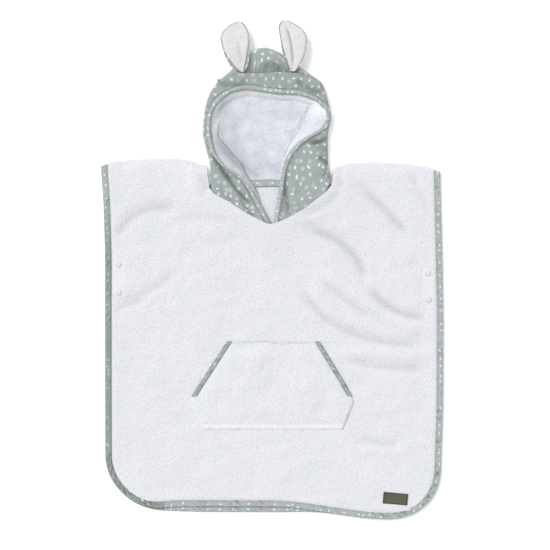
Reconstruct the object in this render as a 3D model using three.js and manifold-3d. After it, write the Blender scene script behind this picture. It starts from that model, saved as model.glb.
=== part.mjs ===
import * as THREE from "three";
import Module from "manifold-3d";

// A child's hooded bath poncho that lies flat, front side up. Lengths are in millimetres,
// +Z is up, +Y points from the hem to the hood and +X to the wearer's left arm.
// The hood lies on its back with the face opening up, so its band folds over at the sides.

const terry = 2.2; // thickness of the terry panels, pocket and hood lining
const cotton = 1; // thickness of the printed cotton
const strip = 0.7; // thickness of the bias strip
const gap = 0.3; // clearance where two pieces are sewn or lie on each other
const pressed = 1; // thickness of terry inside a binding
const boundWidth = 11; // bias binding on the body
const faceWidth = 8; // bias binding on the face opening
const pocketWidth = 9; // bias binding on the pocket's hand openings
const edgeInset = 2.2; // how far a panel's edge stays inside its binding
const channel = 2 * strip + 2 * gap + pressed; // height of a bound edge
const frontRest = terry + gap; // underside of the front panel on the back panel
const frontEdge = channel + gap; // underside of the front binding on the back binding
const neckRise = 4.2; // how far the front panel swells at the neckline
const neckSpread = 42; // reach of that swelling
const puff = 1.8; // how far the front panel floats inside its bound edges
const puffDepth = 55; // distance from those edges where it floats at full height
const borderRise = 1.6; // rise of the panel just inside its binding
const borderDepth = 45; // distance from the edge where that rise has ended
const flatEdge = 12; // width of the rim that a binding presses flat
const fullDepth = 15; // distance from the edge where the cloth is full again
const pocketLift = 0.45; // clearance of the pocket over the panel
const capRadius = 5.3;
const capHeight = 1.9;
const liningDepth = cotton + 2 * gap;
const hoodStack = liningDepth + terry; // cotton, clearance and lining together
const pressedStack = liningDepth + pressed; // the same where a binding presses the lining
const bag = 13; // height of the hood at its crown

const { lerp, clamp, smoothstep } = THREE.MathUtils;
const wasm = await Module();
wasm.setup();

const terryWhite = new THREE.MeshStandardMaterial({ name: "white_terry", color: 0xe6e7ea });
const sage = new THREE.MeshStandardMaterial({ name: "sage_print_cotton", color: 0xa7afad });
const bias = new THREE.MeshStandardMaterial({ name: "sage_bias_strip", color: 0xadb5b5 });
const plastic = new THREE.MeshStandardMaterial({ name: "off_white_plastic", color: 0xe2e3dd });
const woven = new THREE.MeshStandardMaterial({ name: "dark_woven_label", color: 0x3e3f30 });

const part = new THREE.Group();
part.name = "hooded_bath_poncho";

const point = (x, y, z = 0) => new THREE.Vector3(x, y, z);
const mix = (a, b, t) => a.clone().lerp(b, t);
const range = (count) => [...Array(count).keys()];

// Rows of numbers become records with the named columns.
function table(columns, rows) {
  return rows.map((row) => Object.fromEntries(columns.map((name, i) => [name, row[i]])));
}

// A column's value where the key column has the given value, straight between rows.
function read(rows, key, value, column) {
  const last = rows.length - 1;
  let i = 0;
  while (i < last - 1 && value > rows[i + 1][key]) i += 1;
  const t = (value - rows[i][key]) / (rows[i + 1][key] - rows[i][key]);
  return lerp(rows[i][column], rows[i + 1][column], clamp(t, 0, 1));
}

// A smooth curve through a list of points, at t counted in points.
function through(points, t) {
  const last = points.length - 1;
  const i = clamp(Math.floor(t), 0, last - 1);
  const f = t - i;
  const [b, c] = [points[i], points[i + 1]];
  const a = points[i - 1] ?? b.clone().multiplyScalar(2).sub(c);
  const d = points[i + 2] ?? c.clone().multiplyScalar(2).sub(b);
  const blend = (p, q, r, s) =>
    q + 0.5 * f * (r - p + f * (2 * p - 5 * q + 4 * r - s + f * (3 * (q - r) + s - p)));
  return point(blend(a.x, b.x, c.x, d.x), blend(a.y, b.y, c.y, d.y), blend(a.z, b.z, c.z, d.z));
}

// A point at a share of the length of a polyline.
function partWay(points, share) {
  const lengths = points.slice(1).map((p, i) => p.distanceTo(points[i]));
  let left = clamp(share, 0, 1) * lengths.reduce((sum, l) => sum + l, 0);
  for (const [i, length] of lengths.entries()) {
    if (left <= length || i === lengths.length - 1) {
      return mix(points[i], points[i + 1], length ? Math.min(left / length, 1) : 0);
    }
    left -= length;
  }
  return points[0].clone();
}

// A named mesh of points and triangles, with its faces turned outwards.
function solid(name, material, points, faces) {
  let volume = 0;
  for (let i = 0; i < faces.length; i += 3) {
    const [a, b, c] = [points[faces[i]], points[faces[i + 1]], points[faces[i + 2]]];
    volume += a.dot(b.clone().cross(c));
  }
  const turned = volume < 0 ? [...faces].reverse() : faces;
  const geometry = new THREE.BufferGeometry().setFromPoints(points).setIndex(turned);
  geometry.computeVertexNormals();
  const mesh = new THREE.Mesh(geometry, material);
  mesh.name = name;
  part.add(mesh);
  return mesh;
}

// A closed wall between two grids that have the same rows and columns.
function slab(name, material, outer, inner) {
  const rows = outer.length;
  const cols = outer[0].length;
  const faces = [];
  const at = (side, r, c) => (side * rows + r) * cols + c;
  const points = [...outer.flat(), ...inner.flat()];
  const quad = (a, b, c, d) => {
    const straight = points[a].distanceTo(points[c]) <= points[b].distanceTo(points[d]);
    faces.push(...(straight ? [a, b, c, a, c, d] : [b, c, d, b, d, a]));
  };
  for (const r of range(rows - 1)) {
    for (const c of range(cols - 1)) {
      quad(at(0, r, c), at(0, r, c + 1), at(0, r + 1, c + 1), at(0, r + 1, c));
      quad(at(1, r, c), at(1, r + 1, c), at(1, r + 1, c + 1), at(1, r, c + 1));
    }
    quad(at(0, r, 0), at(0, r + 1, 0), at(1, r + 1, 0), at(1, r, 0));
    quad(at(0, r + 1, cols - 1), at(0, r, cols - 1), at(1, r, cols - 1), at(1, r + 1, cols - 1));
  }
  for (const c of range(cols - 1)) {
    quad(at(0, 0, c + 1), at(0, 0, c), at(1, 0, c), at(1, 0, c + 1));
    quad(at(0, rows - 1, c), at(0, rows - 1, c + 1), at(1, rows - 1, c + 1), at(1, rows - 1, c));
  }
  return solid(name, material, points, faces);
}

// The outline of the body: side edges by height, hem and upper edge by x.
const sides = table(["y", "left", "right"], [
  [-340, -291.8, 296],
  [-245, -292.2, 299.3],
  [-86, -292.3, 300],
  [30, -292.3, 298],
  [122, -295.4, 295.5],
  [184, -300, 294.4],
]);
const hem = table(["x", "back", "front"], [
  [-212, -420.5, -418.5],
  [-170, -422.6, -414.7],
  [-128, -424.2, -414.4],
  [14, -424.7, -415],
  [54, -424, -418.8],
  [87, -425.2, -423.8],
  [130, -430.2, -430.2],
  [165, -435, -435],
  [205, -437.2, -437.2],
]);
const upper = table(["x", "back", "front"], [
  [-300, 181, 181],
  [-289, 186, 186],
  [-270, 191.8, 191.8],
  [-248, 193.4, 193.4],
  [-170, 196.4, 196.4],
  [-142, 191.8, 191.8],
  [-129, 186.4, 186.4],
  [-112.6, 182.8, 182.8],
  [-111.3, 149.4, 145.5],
  [-101.5, 149.4, 133.4],
  [-76.5, 149.4, 120.2],
  [-43, 149.8, 98.5],
  [-9.5, 149.8, 81.8],
  [0, 149.8, 80.6],
  [9.5, 149.8, 83.2],
  [27.3, 149.8, 91.6],
  [57.4, 149.8, 108.3],
  [94.3, 149.4, 136.8],
  [104.8, 149.4, 149],
  [105.8, 177, 177],
  [118, 182.9, 182.9],
  [132, 187.3, 187.3],
  [184, 189.7, 189.7],
  [248, 185.5, 185.5],
  [273, 181, 181],
  [285, 175.2, 175.2],
  [294.4, 172, 172],
]);
const corners = {
  left: { x: -192, y: -322, width: 100, power: 2, side: -1 },
  right: { x: 196, y: -340, width: 100, power: 2.3, side: 1 },
};

// The x of a side edge at a height, moved in by an inset. Below the corner's centre it turns.
function sideX(name, which, y, inset = 0) {
  const corner = corners[name];
  if (y >= corner.y) return read(sides, "y", y, name) - corner.side * inset;
  const depth = corner.y - read(hem, "x", corner.x, which) - inset;
  const k = clamp((corner.y - y) / depth, 0, 1);
  const reach = (1 - k ** corner.power) ** (1 / corner.power);
  return corner.x + corner.side * (corner.width - inset) * reach;
}

// A place on a panel: u runs from side to side and g from hem to upper edge.
function placeOn(which, u, g, inset, topInset) {
  const side = (name, x, by) => {
    const low = read(hem, "x", corners[name].x, which) + by;
    return sideX(name, which, lerp(low, read(upper, "x", x, which) - topInset, g), by);
  };
  const [left, right] = [side("left", -292, 0), side("right", 290, 0)];
  const near = (share) => Math.max(0, 1 - share / 0.15);
  const x = lerp(left, right, u) + (side("left", -292, inset) - left) * near(u)
    + (side("right", 290, inset) - right) * near(1 - u);
  const y = lerp(read(hem, "x", x, which) + inset, read(upper, "x", x, which) - topInset, g);
  return { x, y };
}

// Distance from the bound edges of the front.
function fromEdge(x, y) {
  const across = Math.min(x - sideX("left", "front", y), sideX("right", "front", y) - x);
  return Math.min(across, y - read(hem, "x", x, "front"));
}

// Folds of the front panel: a bend from a over b to c, its height and its half width.
const folds = table(["ax", "ay", "bx", "by", "cx", "cy", "height", "width"], [
  [-278, 52, -231, 103, -161, 107, -3, 10],
  [-175, 80, -131, 93, -65, 82, -1.2, 10],
  [-117, 47, -87, 51, -56, 58, -1, 9],
  [-275, -52, -222, -40, -161, 2, -1.6, 9],
  [-276, -75, -257, -61, -222, -52, -2, 8],
  [-143, 184, -135, 157, -126, 131, 1.8, 9],
  [-121, 171, -116, 154, -114, 136, -2.2, 7],
  [154, 145, 198, 105, 241, 58, -3.4, 10],
  [49, 75, 128, 42, 163, -23, -4, 10],
  [163, -23, 215, -70, 276, -80, -4, 9],
  [49, -23, 128, -105, 282, -131, -3, 9],
  [80, -14, 128, -51, 175, -87, -2, 8],
  [93, -3, 180, -73, 268, -108, 2.6, 10],
  [75, -26, 110, -77, 145, -101, 1.6, 8],
  [236, 180, 261, 131, 273, 96, -1.5, 8],
  [49, 96, 93, 114, 119, 140, -2, 9],
  [115, 184, 117, 161, 121, 140, -2.2, 7],
  [128, -161, 198, -170, 276, -178, -2.2, 9],
  [136, -147, 198, -150, 268, -157, 1.6, 9],
  [154, -297, 189, -303, 224, -308, -1.8, 9],
  [154, -318, 189, -318, 224, -324, 1.2, 9],
]);
for (const fold of folds) {
  const start = point(fold.ax, fold.ay);
  const end = point(fold.cx, fold.cy);
  const pull = point(2 * fold.bx, 2 * fold.by).sub(mix(start, end, 0.5));
  fold.line = new THREE.QuadraticBezierCurve3(start, pull, end).getPoints(10);
}

// The nearest place on a polyline: its distance and its share of the way along.
function nearest(line, x, y) {
  let best = { distance: Infinity, share: 0 };
  for (const i of range(line.length - 1)) {
    const [a, b] = [line[i], line[i + 1]];
    const [dx, dy] = [b.x - a.x, b.y - a.y];
    const t = clamp(((x - a.x) * dx + (y - a.y) * dy) / (dx * dx + dy * dy), 0, 1);
    const distance = Math.hypot(x - a.x - t * dx, y - a.y - t * dy);
    if (distance < best.distance) best = { distance, share: (i + t) / (line.length - 1) };
  }
  return best;
}

// The neckline runs between these two places, and the shoulder seams lie outside them.
const neckEnds = { right: -112, left: 105.3 };
const inNeck = (x) => x > neckEnds.right && x < neckEnds.left;
const shoulderDepth = 24; // distance from a shoulder seam where the puff is full
const swellDepth = 20; // the same for the swelling at the neck
const foldEnds = 0.15; // share of a fold over which it runs out
const neckline = upper.filter((row) => inNeck(row.x));
const neckFront = neckline.map((row) => point(row.x, row.front));

// Rise of the front panel over the back one: its puff, its folds and the swelling at the neck.
function riseAt(x, y) {
  const edge = fromEdge(x, y);
  const fromShoulder = inNeck(x) ? Infinity : read(upper, "x", x, "front") - y;
  const inside = smoothstep(edge, flatEdge, puffDepth) * smoothstep(fromShoulder, 0, shoulderDepth);
  let folded = puff;
  for (const { line, height, width } of folds) {
    const { distance, share } = nearest(line, x, y);
    const ends = smoothstep(share, 0, foldEnds) * (1 - smoothstep(share, 1 - foldEnds, 1));
    folded += height * (0.3 + 0.7 * ends) * Math.exp(-((distance / width) ** 2));
  }
  const nearNeck = Math.exp(-((nearest(neckFront, x, y).distance / neckSpread) ** 2));
  const swell = neckRise * nearNeck * smoothstep(fromShoulder, 0, swellDepth);
  const border = borderRise * (1 - smoothstep(edge, flatEdge, borderDepth));
  return Math.max(0, folded * inside) + swell + border;
}

const frontTop = (x, y) => frontRest + riseAt(x, y) + terry;

// Rings round a panel: pressed thin inside the binding, full from the last ring inwards.
const rings = table(["inset", "top"], [[edgeInset, 0], [flatEdge, 4], [fullDepth, 8]]);
const seamEnds = 9; // how much farther in the ends of a shoulder seam are pressed flat

// A panel between its lower and upper faces, which heights gives for a place and depth.
function panel(name, which, columns, rows, heights) {
  const places = [];
  const spot = (u, g, ring, onEdge) => {
    const { x, y } = placeOn(which, u, g, ring.inset, ring.top);
    const across = Math.min(x - sideX("left", which, y), sideX("right", which, y) - x);
    const onTop = g === 1 && u > 0 && u < 1;
    const depth = onTop ? across - seamEnds : ring.inset;
    places.push({ x, y, depth: onEdge ? depth : Infinity });
    return places.length - 1;
  };
  const [lastC, lastR] = [columns.length - 1, rows.length - 1];
  const isEdge = (c, r) => c === 0 || r === 0 || c === lastC || r === lastR;
  const grid = rows.map((g, r) => columns.map((u, c) => spot(u, g, rings[2], isEdge(c, r))));
  const walk = [
    ...range(lastC).map((c) => [c, 0]),
    ...range(lastR).map((r) => [lastC, r]),
    ...range(lastC).map((c) => [lastC - c, lastR]),
    ...range(lastR).map((r) => [0, lastR - r]),
  ];
  const loops = [walk.map(([c, r]) => grid[r][c])];
  for (const ring of [rings[1], rings[0]]) {
    loops.push(walk.map(([c, r]) => spot(columns[c], rows[r], ring, true)));
  }
  const faces = [];
  const count = places.length;
  const both = (a, b, c, d) => {
    faces.push(a, b, c, a, c, d, a + count, c + count, b + count, a + count, d + count, c + count);
  };
  for (const r of range(lastR)) {
    for (const c of range(lastC)) {
      both(grid[r][c], grid[r][c + 1], grid[r + 1][c + 1], grid[r + 1][c]);
    }
  }
  const steps = walk.length;
  for (const [i, inner] of loops.slice(0, -1).entries()) {
    const outer = loops[i + 1];
    for (const k of range(steps)) {
      const next = (k + 1) % steps;
      both(inner[k], outer[k], outer[next], inner[next]);
    }
  }
  const rim = loops[loops.length - 1];
  for (const k of range(steps)) {
    const [a, b] = [rim[k], rim[(k + 1) % steps]];
    faces.push(a + count, b + count, b, a + count, b, a);
  }
  const levels = places.map(({ x, y, depth }) => heights(x, y, depth));
  const top = places.map(({ x, y }, i) => point(x, y, levels[i].high));
  const low = places.map(({ x, y }, i) => point(x, y, levels[i].low));
  return solid(name, terryWhite, [...top, ...low], faces);
}

// Lower and upper face of a panel that is pressed at an edge level and rests at another one.
function pressedIn(rest, edge, depth) {
  const thin = 1 - smoothstep(depth, flatEdge, fullDepth);
  const low = lerp(rest, edge + strip + gap, thin);
  return { low, high: low + lerp(terry, pressed, thin) };
}

const acrossAt = (xs) => xs.map((x) => (x - xs[0]) / (xs[xs.length - 1] - xs[0]));
const cornerRows = [0, 0.006, 0.022, 0.048, 0.081, 0.121, 0.162];
const cornerTop = cornerRows[cornerRows.length - 1];
const rowsUp = (count) => [
  ...cornerRows,
  ...range(count).map((i) => lerp(cornerTop, 1, (i + 1) / count)),
];
const frontColumns = acrossAt([
  -300, -290, -262, -236, -208, -180, -156, -134, -120, -112.6, -111.3, -106,
  -92, -74, -52, -30, -12, 0, 12, 30, 50, 72, 90, 101,
  104.8, 105.8, 114, 130, 152, 178, 206, 234, 260, 284, 294.4,
]);
const backColumns = acrossAt([
  -300, -290, -200, -129, -112.6, -111.3, -43, 30, 87, 104.8, 105.8, 130,
  165, 205, 284, 294.4,
]);
const frontRows = rowsUp(15);
const backRows = rowsUp(4);

panel("front_panel", "front", frontColumns, frontRows, (x, y, depth) =>
  pressedIn(frontRest + riseAt(x, y), frontEdge, depth));
const backMesh = panel("back_panel", "back", backColumns, backRows, (x, y, depth) =>
  pressedIn(0, 0, depth));

// A bias strip folded over an edge: distance in from its bend and height, outside and inside.
function foldedStrip(width, held) {
  const high = held + 2 * (gap + strip);
  const middle = high / 2;
  return table(["outD", "outZ", "inD", "inZ"], [
    [width, high, width, high - strip],
    [2, high, 2, high - strip],
    [0.5, high - 0.5, 1.2, high - 1],
    [0, middle, 0.9, middle],
    [0.5, 0.5, 1.2, 1],
    [2, 0, 2, strip],
    [width, 0, width, strip],
  ]);
}

// The binding of a panel, from one shoulder down the side, along the hem and up again.
const hemStations = 14;
function boundEdge(name, which, level) {
  const ups = [...cornerRows, 0.25, 0.4, 0.55, 0.7, 0.85, 1];
  const stations = [
    ...[...ups].reverse().map((g) => [0, g]),
    ...range(hemStations).map((i) => [(i + 1) / (hemStations + 1), 0]),
    ...ups.map((g) => [1, g]),
  ];
  const profile = foldedStrip(boundWidth, pressed);
  const wall = (d, z) => stations.map(([u, g]) => profile.map((row) => {
    const { x, y } = placeOn(which, u, g, row[d], 0);
    return point(x, y, level + row[z]);
  }));
  slab(name, bias, wall("outD", "outZ"), wall("inD", "inZ"));
}

boundEdge("back_binding", "back", 0);
boundEdge("front_binding", "front", frontEdge);

// The kangaroo pocket: left and right edges by height, slanted at the hand openings.
const pocketRows = table(["y", "left", "right"], [
  [-125, -79, 83.5],
  [-149, -94.5, 98],
  [-173, -110, 112.5],
  [-197, -125.5, 127.5],
  [-221, -141, 140.5],
  [-231, -139, 144],
  [-255, -130, 134.5],
  [-279, -122, 124.5],
]);
const handFoot = -221; // where the slanted openings end
const pocketLevel = (x, y) => frontTop(x, y) + pocketLift;
const besideEdge = [edgeInset, 10]; // columns that a binding presses flat
const insideEdge = 13; // first column of full cloth
const pocketSteps = 6; // from there to the other side

function pocketWall(onTop) {
  return pocketRows.map((row) => {
    const place = (x, pressedFlat) => {
      const thin = pressedFlat && row.y >= handFoot;
      const low = pocketLevel(x, row.y) + gap + (thin ? strip : 0);
      return point(x, row.y, low + (onTop ? (thin ? pressed : terry) : 0));
    };
    const [start, end] = [row.left + insideEdge, row.right - insideEdge];
    return [
      ...besideEdge.map((inset) => place(row.left + inset, true)),
      ...range(pocketSteps + 1).map((i) => place(lerp(start, end, i / pocketSteps), false)),
      ...[...besideEdge].reverse().map((inset) => place(row.right - inset, true)),
    ];
  });
}
slab("pocket", terryWhite, pocketWall(true), pocketWall(false));

const handSteps = 6; // stretches of a hand opening's binding
const pocketTop = pocketRows[0].y;
const pocketUpwards = [...pocketRows].reverse();

function handBinding(name, edgeName, side) {
  const profile = foldedStrip(pocketWidth, pressed);
  const levels = range(handSteps + 1).map((i) => lerp(pocketTop, handFoot, i / handSteps));
  const wall = (d, z) => levels.map((y) => profile.map((row) => {
    const x = read(pocketUpwards, "y", y, edgeName) - side * row[d];
    return point(x, y, pocketLevel(x, y) + row[z]);
  }));
  slab(name, bias, wall("outD", "outZ"), wall("inD", "inZ"));
}
handBinding("pocket_binding_right", "left", -1);
handBinding("pocket_binding_left", "right", 1);

// The hood's side sections from the neck up: place of the face edge, outermost fold with the
// height of the bag there, and the seam between band and back piece on the floor.
const sideColumns = ["ex", "ey", "ez", "fx", "fy", "rise", "sx", "sy"];
const leftSections = table(sideColumns, [
  [-3, 81.6, 10.4, -110.3, 153, 10, -44, 150.5],
  [-21, 117, 10.8, -110.4, 158, 10.5, -47, 160],
  [-40, 147, 12, -110.2, 165, 11, -52, 172],
  [-61, 168, 13, -109.3, 175, 11.5, -60, 187],
  [-82.3, 182, 13.8, -109.5, 189, 12.3, -71, 203],
  [-99.8, 206.5, 14.4, -114.5, 208, 12.8, -84, 222],
  [-106.8, 236.3, 14.8, -121, 236, 13, -92.5, 250],
  [-107, 266, 15, -119.5, 270, 13, -92.8, 280],
  [-98, 287, 15, -111, 305, 13, 0, 0],
  [-84, 301, 15.2, -96, 329, 13, 0, 0],
]);
const rightSections = table(sideColumns, [
  [3.4, 81.8, 10.4, 103.8, 153, 10, 21, 150.5],
  [12, 140, 11, 102.5, 170, 11, 21, 168],
  [19.5, 183, 12, 98.7, 187, 12, 23, 188],
  [37, 213.5, 13, 97.6, 206, 12.5, 27, 208],
  [57.8, 231, 13.8, 98, 225, 13, 32, 227],
  [84, 246, 14.6, 98.9, 243, 13, 40, 243],
  [95.5, 260, 14.8, 101.8, 257, 13, 49, 259],
  [98.5, 271, 15, 103, 273, 13, 60, 283],
  [94.5, 281, 15, 96.6, 302, 13, 0, 0],
  [86, 287, 15.1, 86, 330, 13, 0, 0],
]);
// Across the top: face edge, outline of the crown and the ear seam.
const topSections = table(["ex", "ey", "ez", "fx", "fy", "sx", "sy"], [
  [-68.3, 311, 15.3, -96, 329, -63, 345.6],
  [-43.8, 315, 15.5, -60, 360, -38, 344.8],
  [-15.8, 311.5, 15.5, -27, 387, -9.5, 345.3],
  [13, 307.5, 15.3, 3, 386, 20, 346],
  [46, 306, 15.2, 38, 363, 46, 344],
  [76, 296, 15.1, 86, 330, 68, 337.8],
]);
const floorSections = 7; // the seam leaves the floor after this section
const topSteps = topSections.length - 1;
const sideSteps = leftSections.length;
const bendSteps = 4; // chords of a quarter turn
const seamRoom = 0.8; // largest share of the way to a seam that a bend takes
const edgeRoom = 0.7; // the same towards the face edge
const crownBend = 0.62; // share of the crown's upper third that is its bend
const neckSag = [1, 0.3]; // how far the first sections follow the neckline
const frontSteps = 8; // from the face edge to the bend

// A bend through a quarter turn from a direction that is level to one that is upright.
function quarter(fold, towards, reach, middle, upwards) {
  return range(bendSteps + 1).map((i) => {
    const turn = (i / bendSteps) * Math.PI / 2;
    const foot = fold.clone().addScaledVector(towards, reach * (1 - Math.cos(turn)));
    foot.z = middle + upwards * middle * Math.sin(turn);
    return foot;
  });
}
const flat = (v) => point(v.x, v.y);
const heading = (from, to) => flat(to).sub(flat(from)).normalize();
const floorPoint = (sections) => point(sections[floorSections].sx, sections[floorSections].sy);

// The hood's back piece from the floor over the crown to the ear seam: share q of the way.
function overCrown(w, q) {
  const foot = mix(floorPoint(leftSections), floorPoint(rightSections), w);
  const at = (x, y) => through(topSections.map((row) => point(row[x], row[y])), w * topSteps);
  const fold = at("fx", "fy");
  const seam = at("sx", "sy").setZ(bag);
  const middle = bag / 2;
  const reach = Math.min(middle, seamRoom * flat(seam).distanceTo(fold));
  const under = quarter(fold, heading(fold, foot), middle, middle, -1);
  const over = quarter(fold, heading(fold, seam), reach, middle, 1);
  if (q <= 1 / 3) return partWay([foot, under[bendSteps]], 3 * q);
  if (q <= 2 / 3) return partWay([...under].reverse(), 3 * q - 1);
  const t = 3 * q - 2;
  if (t <= crownBend) return partWay(over, t / crownBend);
  return partWay([over[bendSteps], seam], (t - crownBend) / (1 - crownBend));
}

// The seam between band and back piece, by side and section.
function seamAt(sections, t) {
  if (t > floorSections) {
    return overCrown(sections === leftSections ? 0 : 1, (t - floorSections) / 3);
  }
  return through(sections.slice(0, floorSections + 1).map((row) => point(row.sx, row.sy)), t);
}

// The band from the face edge over the outermost fold to the seam, as seen in one section.
const flapEnds = { edge: 8, fold: 102 }; // the band's foot follows the neckline between these
const neckClear = 0.5; // and stays this far above it
function bandPath(sections, k) {
  const row = sections[k];
  const edge = point(row.ex, row.ey, row.ez);
  const fold = point(row.fx, row.fy);
  const out = heading(fold, edge);
  const reach = Math.min(row.rise / 2, edgeRoom * flat(edge).distanceTo(fold));
  const over = quarter(fold, out, reach, row.rise / 2, 1).reverse();
  const sign = sections === leftSections ? -1 : 1;
  const sagShare = neckSag[k] ?? 0;
  const followed = neckFront.filter((p) => p.x * sign > flapEnds.edge && p.x * sign < flapEnds.fold)
    .sort((a, b) => sign * (a.x - b.x));
  const alongNeck = followed.map((p) => point(p.x, p.y + neckClear));
  const neck = [flat(edge), ...alongNeck, flat(over[0])];
  const front = range(frontSteps + 1).map((i) => {
    const straight = mix(edge, over[0], i / frontSteps);
    if (!sagShare || i === frontSteps) return straight;
    const sag = partWay(neck, i / frontSteps).sub(straight).setZ(0);
    return straight.addScaledVector(sag, sagShare);
  });
  const upper = [...front.slice(0, -1), ...over];
  if (k === floorSections + 2) return upper;
  const seam = seamAt(sections, k);
  const inner = Math.min(row.rise / 2, seamRoom * flat(seam).distanceTo(fold));
  const under = quarter(fold, heading(fold, seam), inner, row.rise / 2, -1);
  return [...upper, ...under.slice(1), mix(under[bendSteps], seam, 0.5), seam];
}

const crownSwell = 1.6; // how far the band swells over the forehead
function topPath(k) {
  const row = topSections[k];
  const edge = point(row.ex, row.ey, row.ez);
  const seam = point(row.sx, row.sy, bag);
  return range(frontSteps + 1).map((i) => {
    const share = i / frontSteps;
    return mix(edge, seam, share).add(point(0, 0, crownSwell * Math.sin(Math.PI * share)));
  });
}

// Places along a section: the binding's bend, the cloth's edge, the binding's end and then
// shares of the rest, closer together where the cloth turns.
const bandShares = 7;
const turnLength = 14; // length that a bend of one radian counts for
const bindingReach = faceWidth + 1.2;
function placed(path) {
  const steps = path.slice(1).map((p, i) => p.distanceTo(path[i]));
  const total = steps.reduce((sum, l) => sum + l, 0);
  const ways = path.slice(1).map((p, i) => p.clone().sub(path[i]).normalize());
  const dense = steps.map((l, i) => {
    const turn = i ? Math.acos(clamp(ways[i - 1].dot(ways[i]), -1, 1)) : 0;
    return l + turnLength * turn;
  });
  const first = [0, edgeInset, bindingReach].map((d) => partWay(path, d / total));
  let gone = 0;
  const passed = [];
  let measured = 0;
  for (const [i, l] of steps.entries()) {
    const kept = clamp((gone + l - bindingReach) / l, 0, 1);
    const [from, start] = [measured, gone + l * (1 - kept)];
    measured += dense[i] * kept;
    gone += l;
    passed.push({ from, to: measured, start, end: gone });
  }
  const rest = range(bandShares).map((i) => {
    const goal = measured * (i + 1) / bandShares;
    const s = passed.find((piece) => piece.to >= goal - 1e-9) ?? passed[passed.length - 1];
    const t = s.to > s.from ? (goal - s.from) / (s.to - s.from) : 1;
    return partWay(path, lerp(s.start, s.end, t) / total);
  });
  return [...first, ...rest];
}

// All sections in turn from the left neck over the top to the right neck.
const sections = [
  ...range(sideSteps).map((k) => placed(bandPath(leftSections, k))),
  ...range(topSteps + 1).map((k) => placed(topPath(k))),
  ...range(sideSteps).reverse().map((k) => placed(bandPath(rightSections, k))),
];
const lastSection = sections.length - 1;
const floorRows = 2; // rows from one section to the next on the floor and across the top
const crownRows = 3; // the same where the sides rise to the crown
const sideTimes = [
  ...range(floorRows * floorSections).map((i) => i / floorRows),
  ...range(crownRows * (sideSteps - floorSections)).map((i) => floorSections + i / crownRows),
];
const topTimes = range(floorRows * topSteps + 1).map((i) => sideSteps + i / floorRows);
const times = [...sideTimes, ...topTimes, ...[...sideTimes].reverse().map((t) => lastSection - t)];

function seamPoint(t) {
  if (t <= sideSteps) return seamAt(leftSections, t);
  if (t >= sideSteps + topSteps) return seamAt(rightSections, lastSection - t);
  return overCrown((t - sideSteps) / topSteps, 1);
}

// The master surface is the outside of the hood: the band's rows, then the back piece's rows.
const band = times.map((t) => {
  const row = sections[0].map((_, i) => through(sections.map((s) => s[i]), t));
  const end = seamPoint(t);
  const miss = end.clone().sub(row[row.length - 1]);
  const share = (i) => (i / (row.length - 1)) ** 3;
  const drawn = row.map((p, i) => p.addScaledVector(miss, share(i)));
  drawn[drawn.length - 1] = end;
  return drawn.map((p) => p.setZ(Math.max(p.z, 0)));
});
const backTimes = [...sideTimes, sideSteps];
const back = backTimes.map((t, r) => topTimes.map((topTime, c) => {
  const w = c / (topTimes.length - 1);
  const edge = band[band.length - 1 - r];
  if (c === 0) return band[r][band[r].length - 1];
  if (w === 1) return edge[edge.length - 1];
  if (r === backTimes.length - 1) return band[r + c][band[r + c].length - 1];
  if (t > floorSections) return overCrown(w, (t - floorSections) / 3);
  return mix(seamAt(leftSections, t), seamAt(rightSections, t), w);
}));

// Normals of the master surface, shared along the seam because its points are shared.
const normals = new Map();
for (const grid of [band, back]) {
  for (const p of grid.flat()) if (!normals.has(p)) normals.set(p, point(0, 0, 0));
  for (const r of range(grid.length - 1)) {
    for (const c of range(grid[r].length - 1)) {
      const cell = [grid[r][c], grid[r + 1][c], grid[r + 1][c + 1], grid[r][c + 1]];
      const up = cell[2].clone().sub(cell[0]);
      const normal = up.cross(cell[3].clone().sub(cell[1]));
      for (const p of cell) normals.get(p).add(normal.clone().setLength(1));
    }
  }
}
for (const n of normals.values()) n.normalize();
const inwards = (p, depth) => p.clone().addScaledVector(normals.get(p), -depth);

// Moves the borders of a grid back from the seam.
function clearOf(grid, sides, step) {
  const rows = grid.length - 1;
  return grid.map((row, r) => row.map((p, c) => {
    const cols = row.length - 1;
    const moved = p.clone();
    if (sides.includes("start") && c === 0) moved.add(stepTo(p, row[1], step(p)));
    if (sides.includes("end") && c === cols) moved.add(stepTo(p, row[cols - 1], step(p)));
    if (sides.includes("last") && r === rows) moved.add(stepTo(p, grid[r - 1][c], step(p)));
    normals.set(moved, normals.get(p));
    return moved;
  }));
}
function stepTo(from, to, length) {
  return to.clone().sub(from).setLength(length);
}

const layer = (grid, depths) => grid.map((row) => row.map((p, i) => inwards(p, depths(i))));
const clothed = band.map((row) => row.slice(1));
const borders = ["start", "end", "last"];
const clothStep = 0.25; // distance of a cotton edge from the seam
const liningStep = 0.3; // distance of a lining edge from it on the floor
const liningTurn = 1.2; // the same where the hood turns up
const raised = 3; // height from which it does
const seamSteps = [() => clothStep, (p) => (p.z > raised ? liningTurn : liningStep)];
const [bandCloth, bandInside] = seamSteps.map((step) => clearOf(clothed, ["end"], step));
const [backCloth, backInside] = seamSteps.map((step) => clearOf(back, borders, step));
slab("hood_band_outer", sage, layer(bandCloth, () => 0), layer(bandCloth, () => cotton));
slab("hood_band_lining", terryWhite, layer(bandInside, () => liningDepth),
  layer(bandInside, (i) => (i < 2 ? pressedStack : hoodStack)));
slab("hood_back_outer", sage, layer(backCloth, () => 0), layer(backCloth, () => cotton));
slab("hood_back_lining", terryWhite, layer(backInside, () => liningDepth),
  layer(backInside, () => hoodStack));

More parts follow.
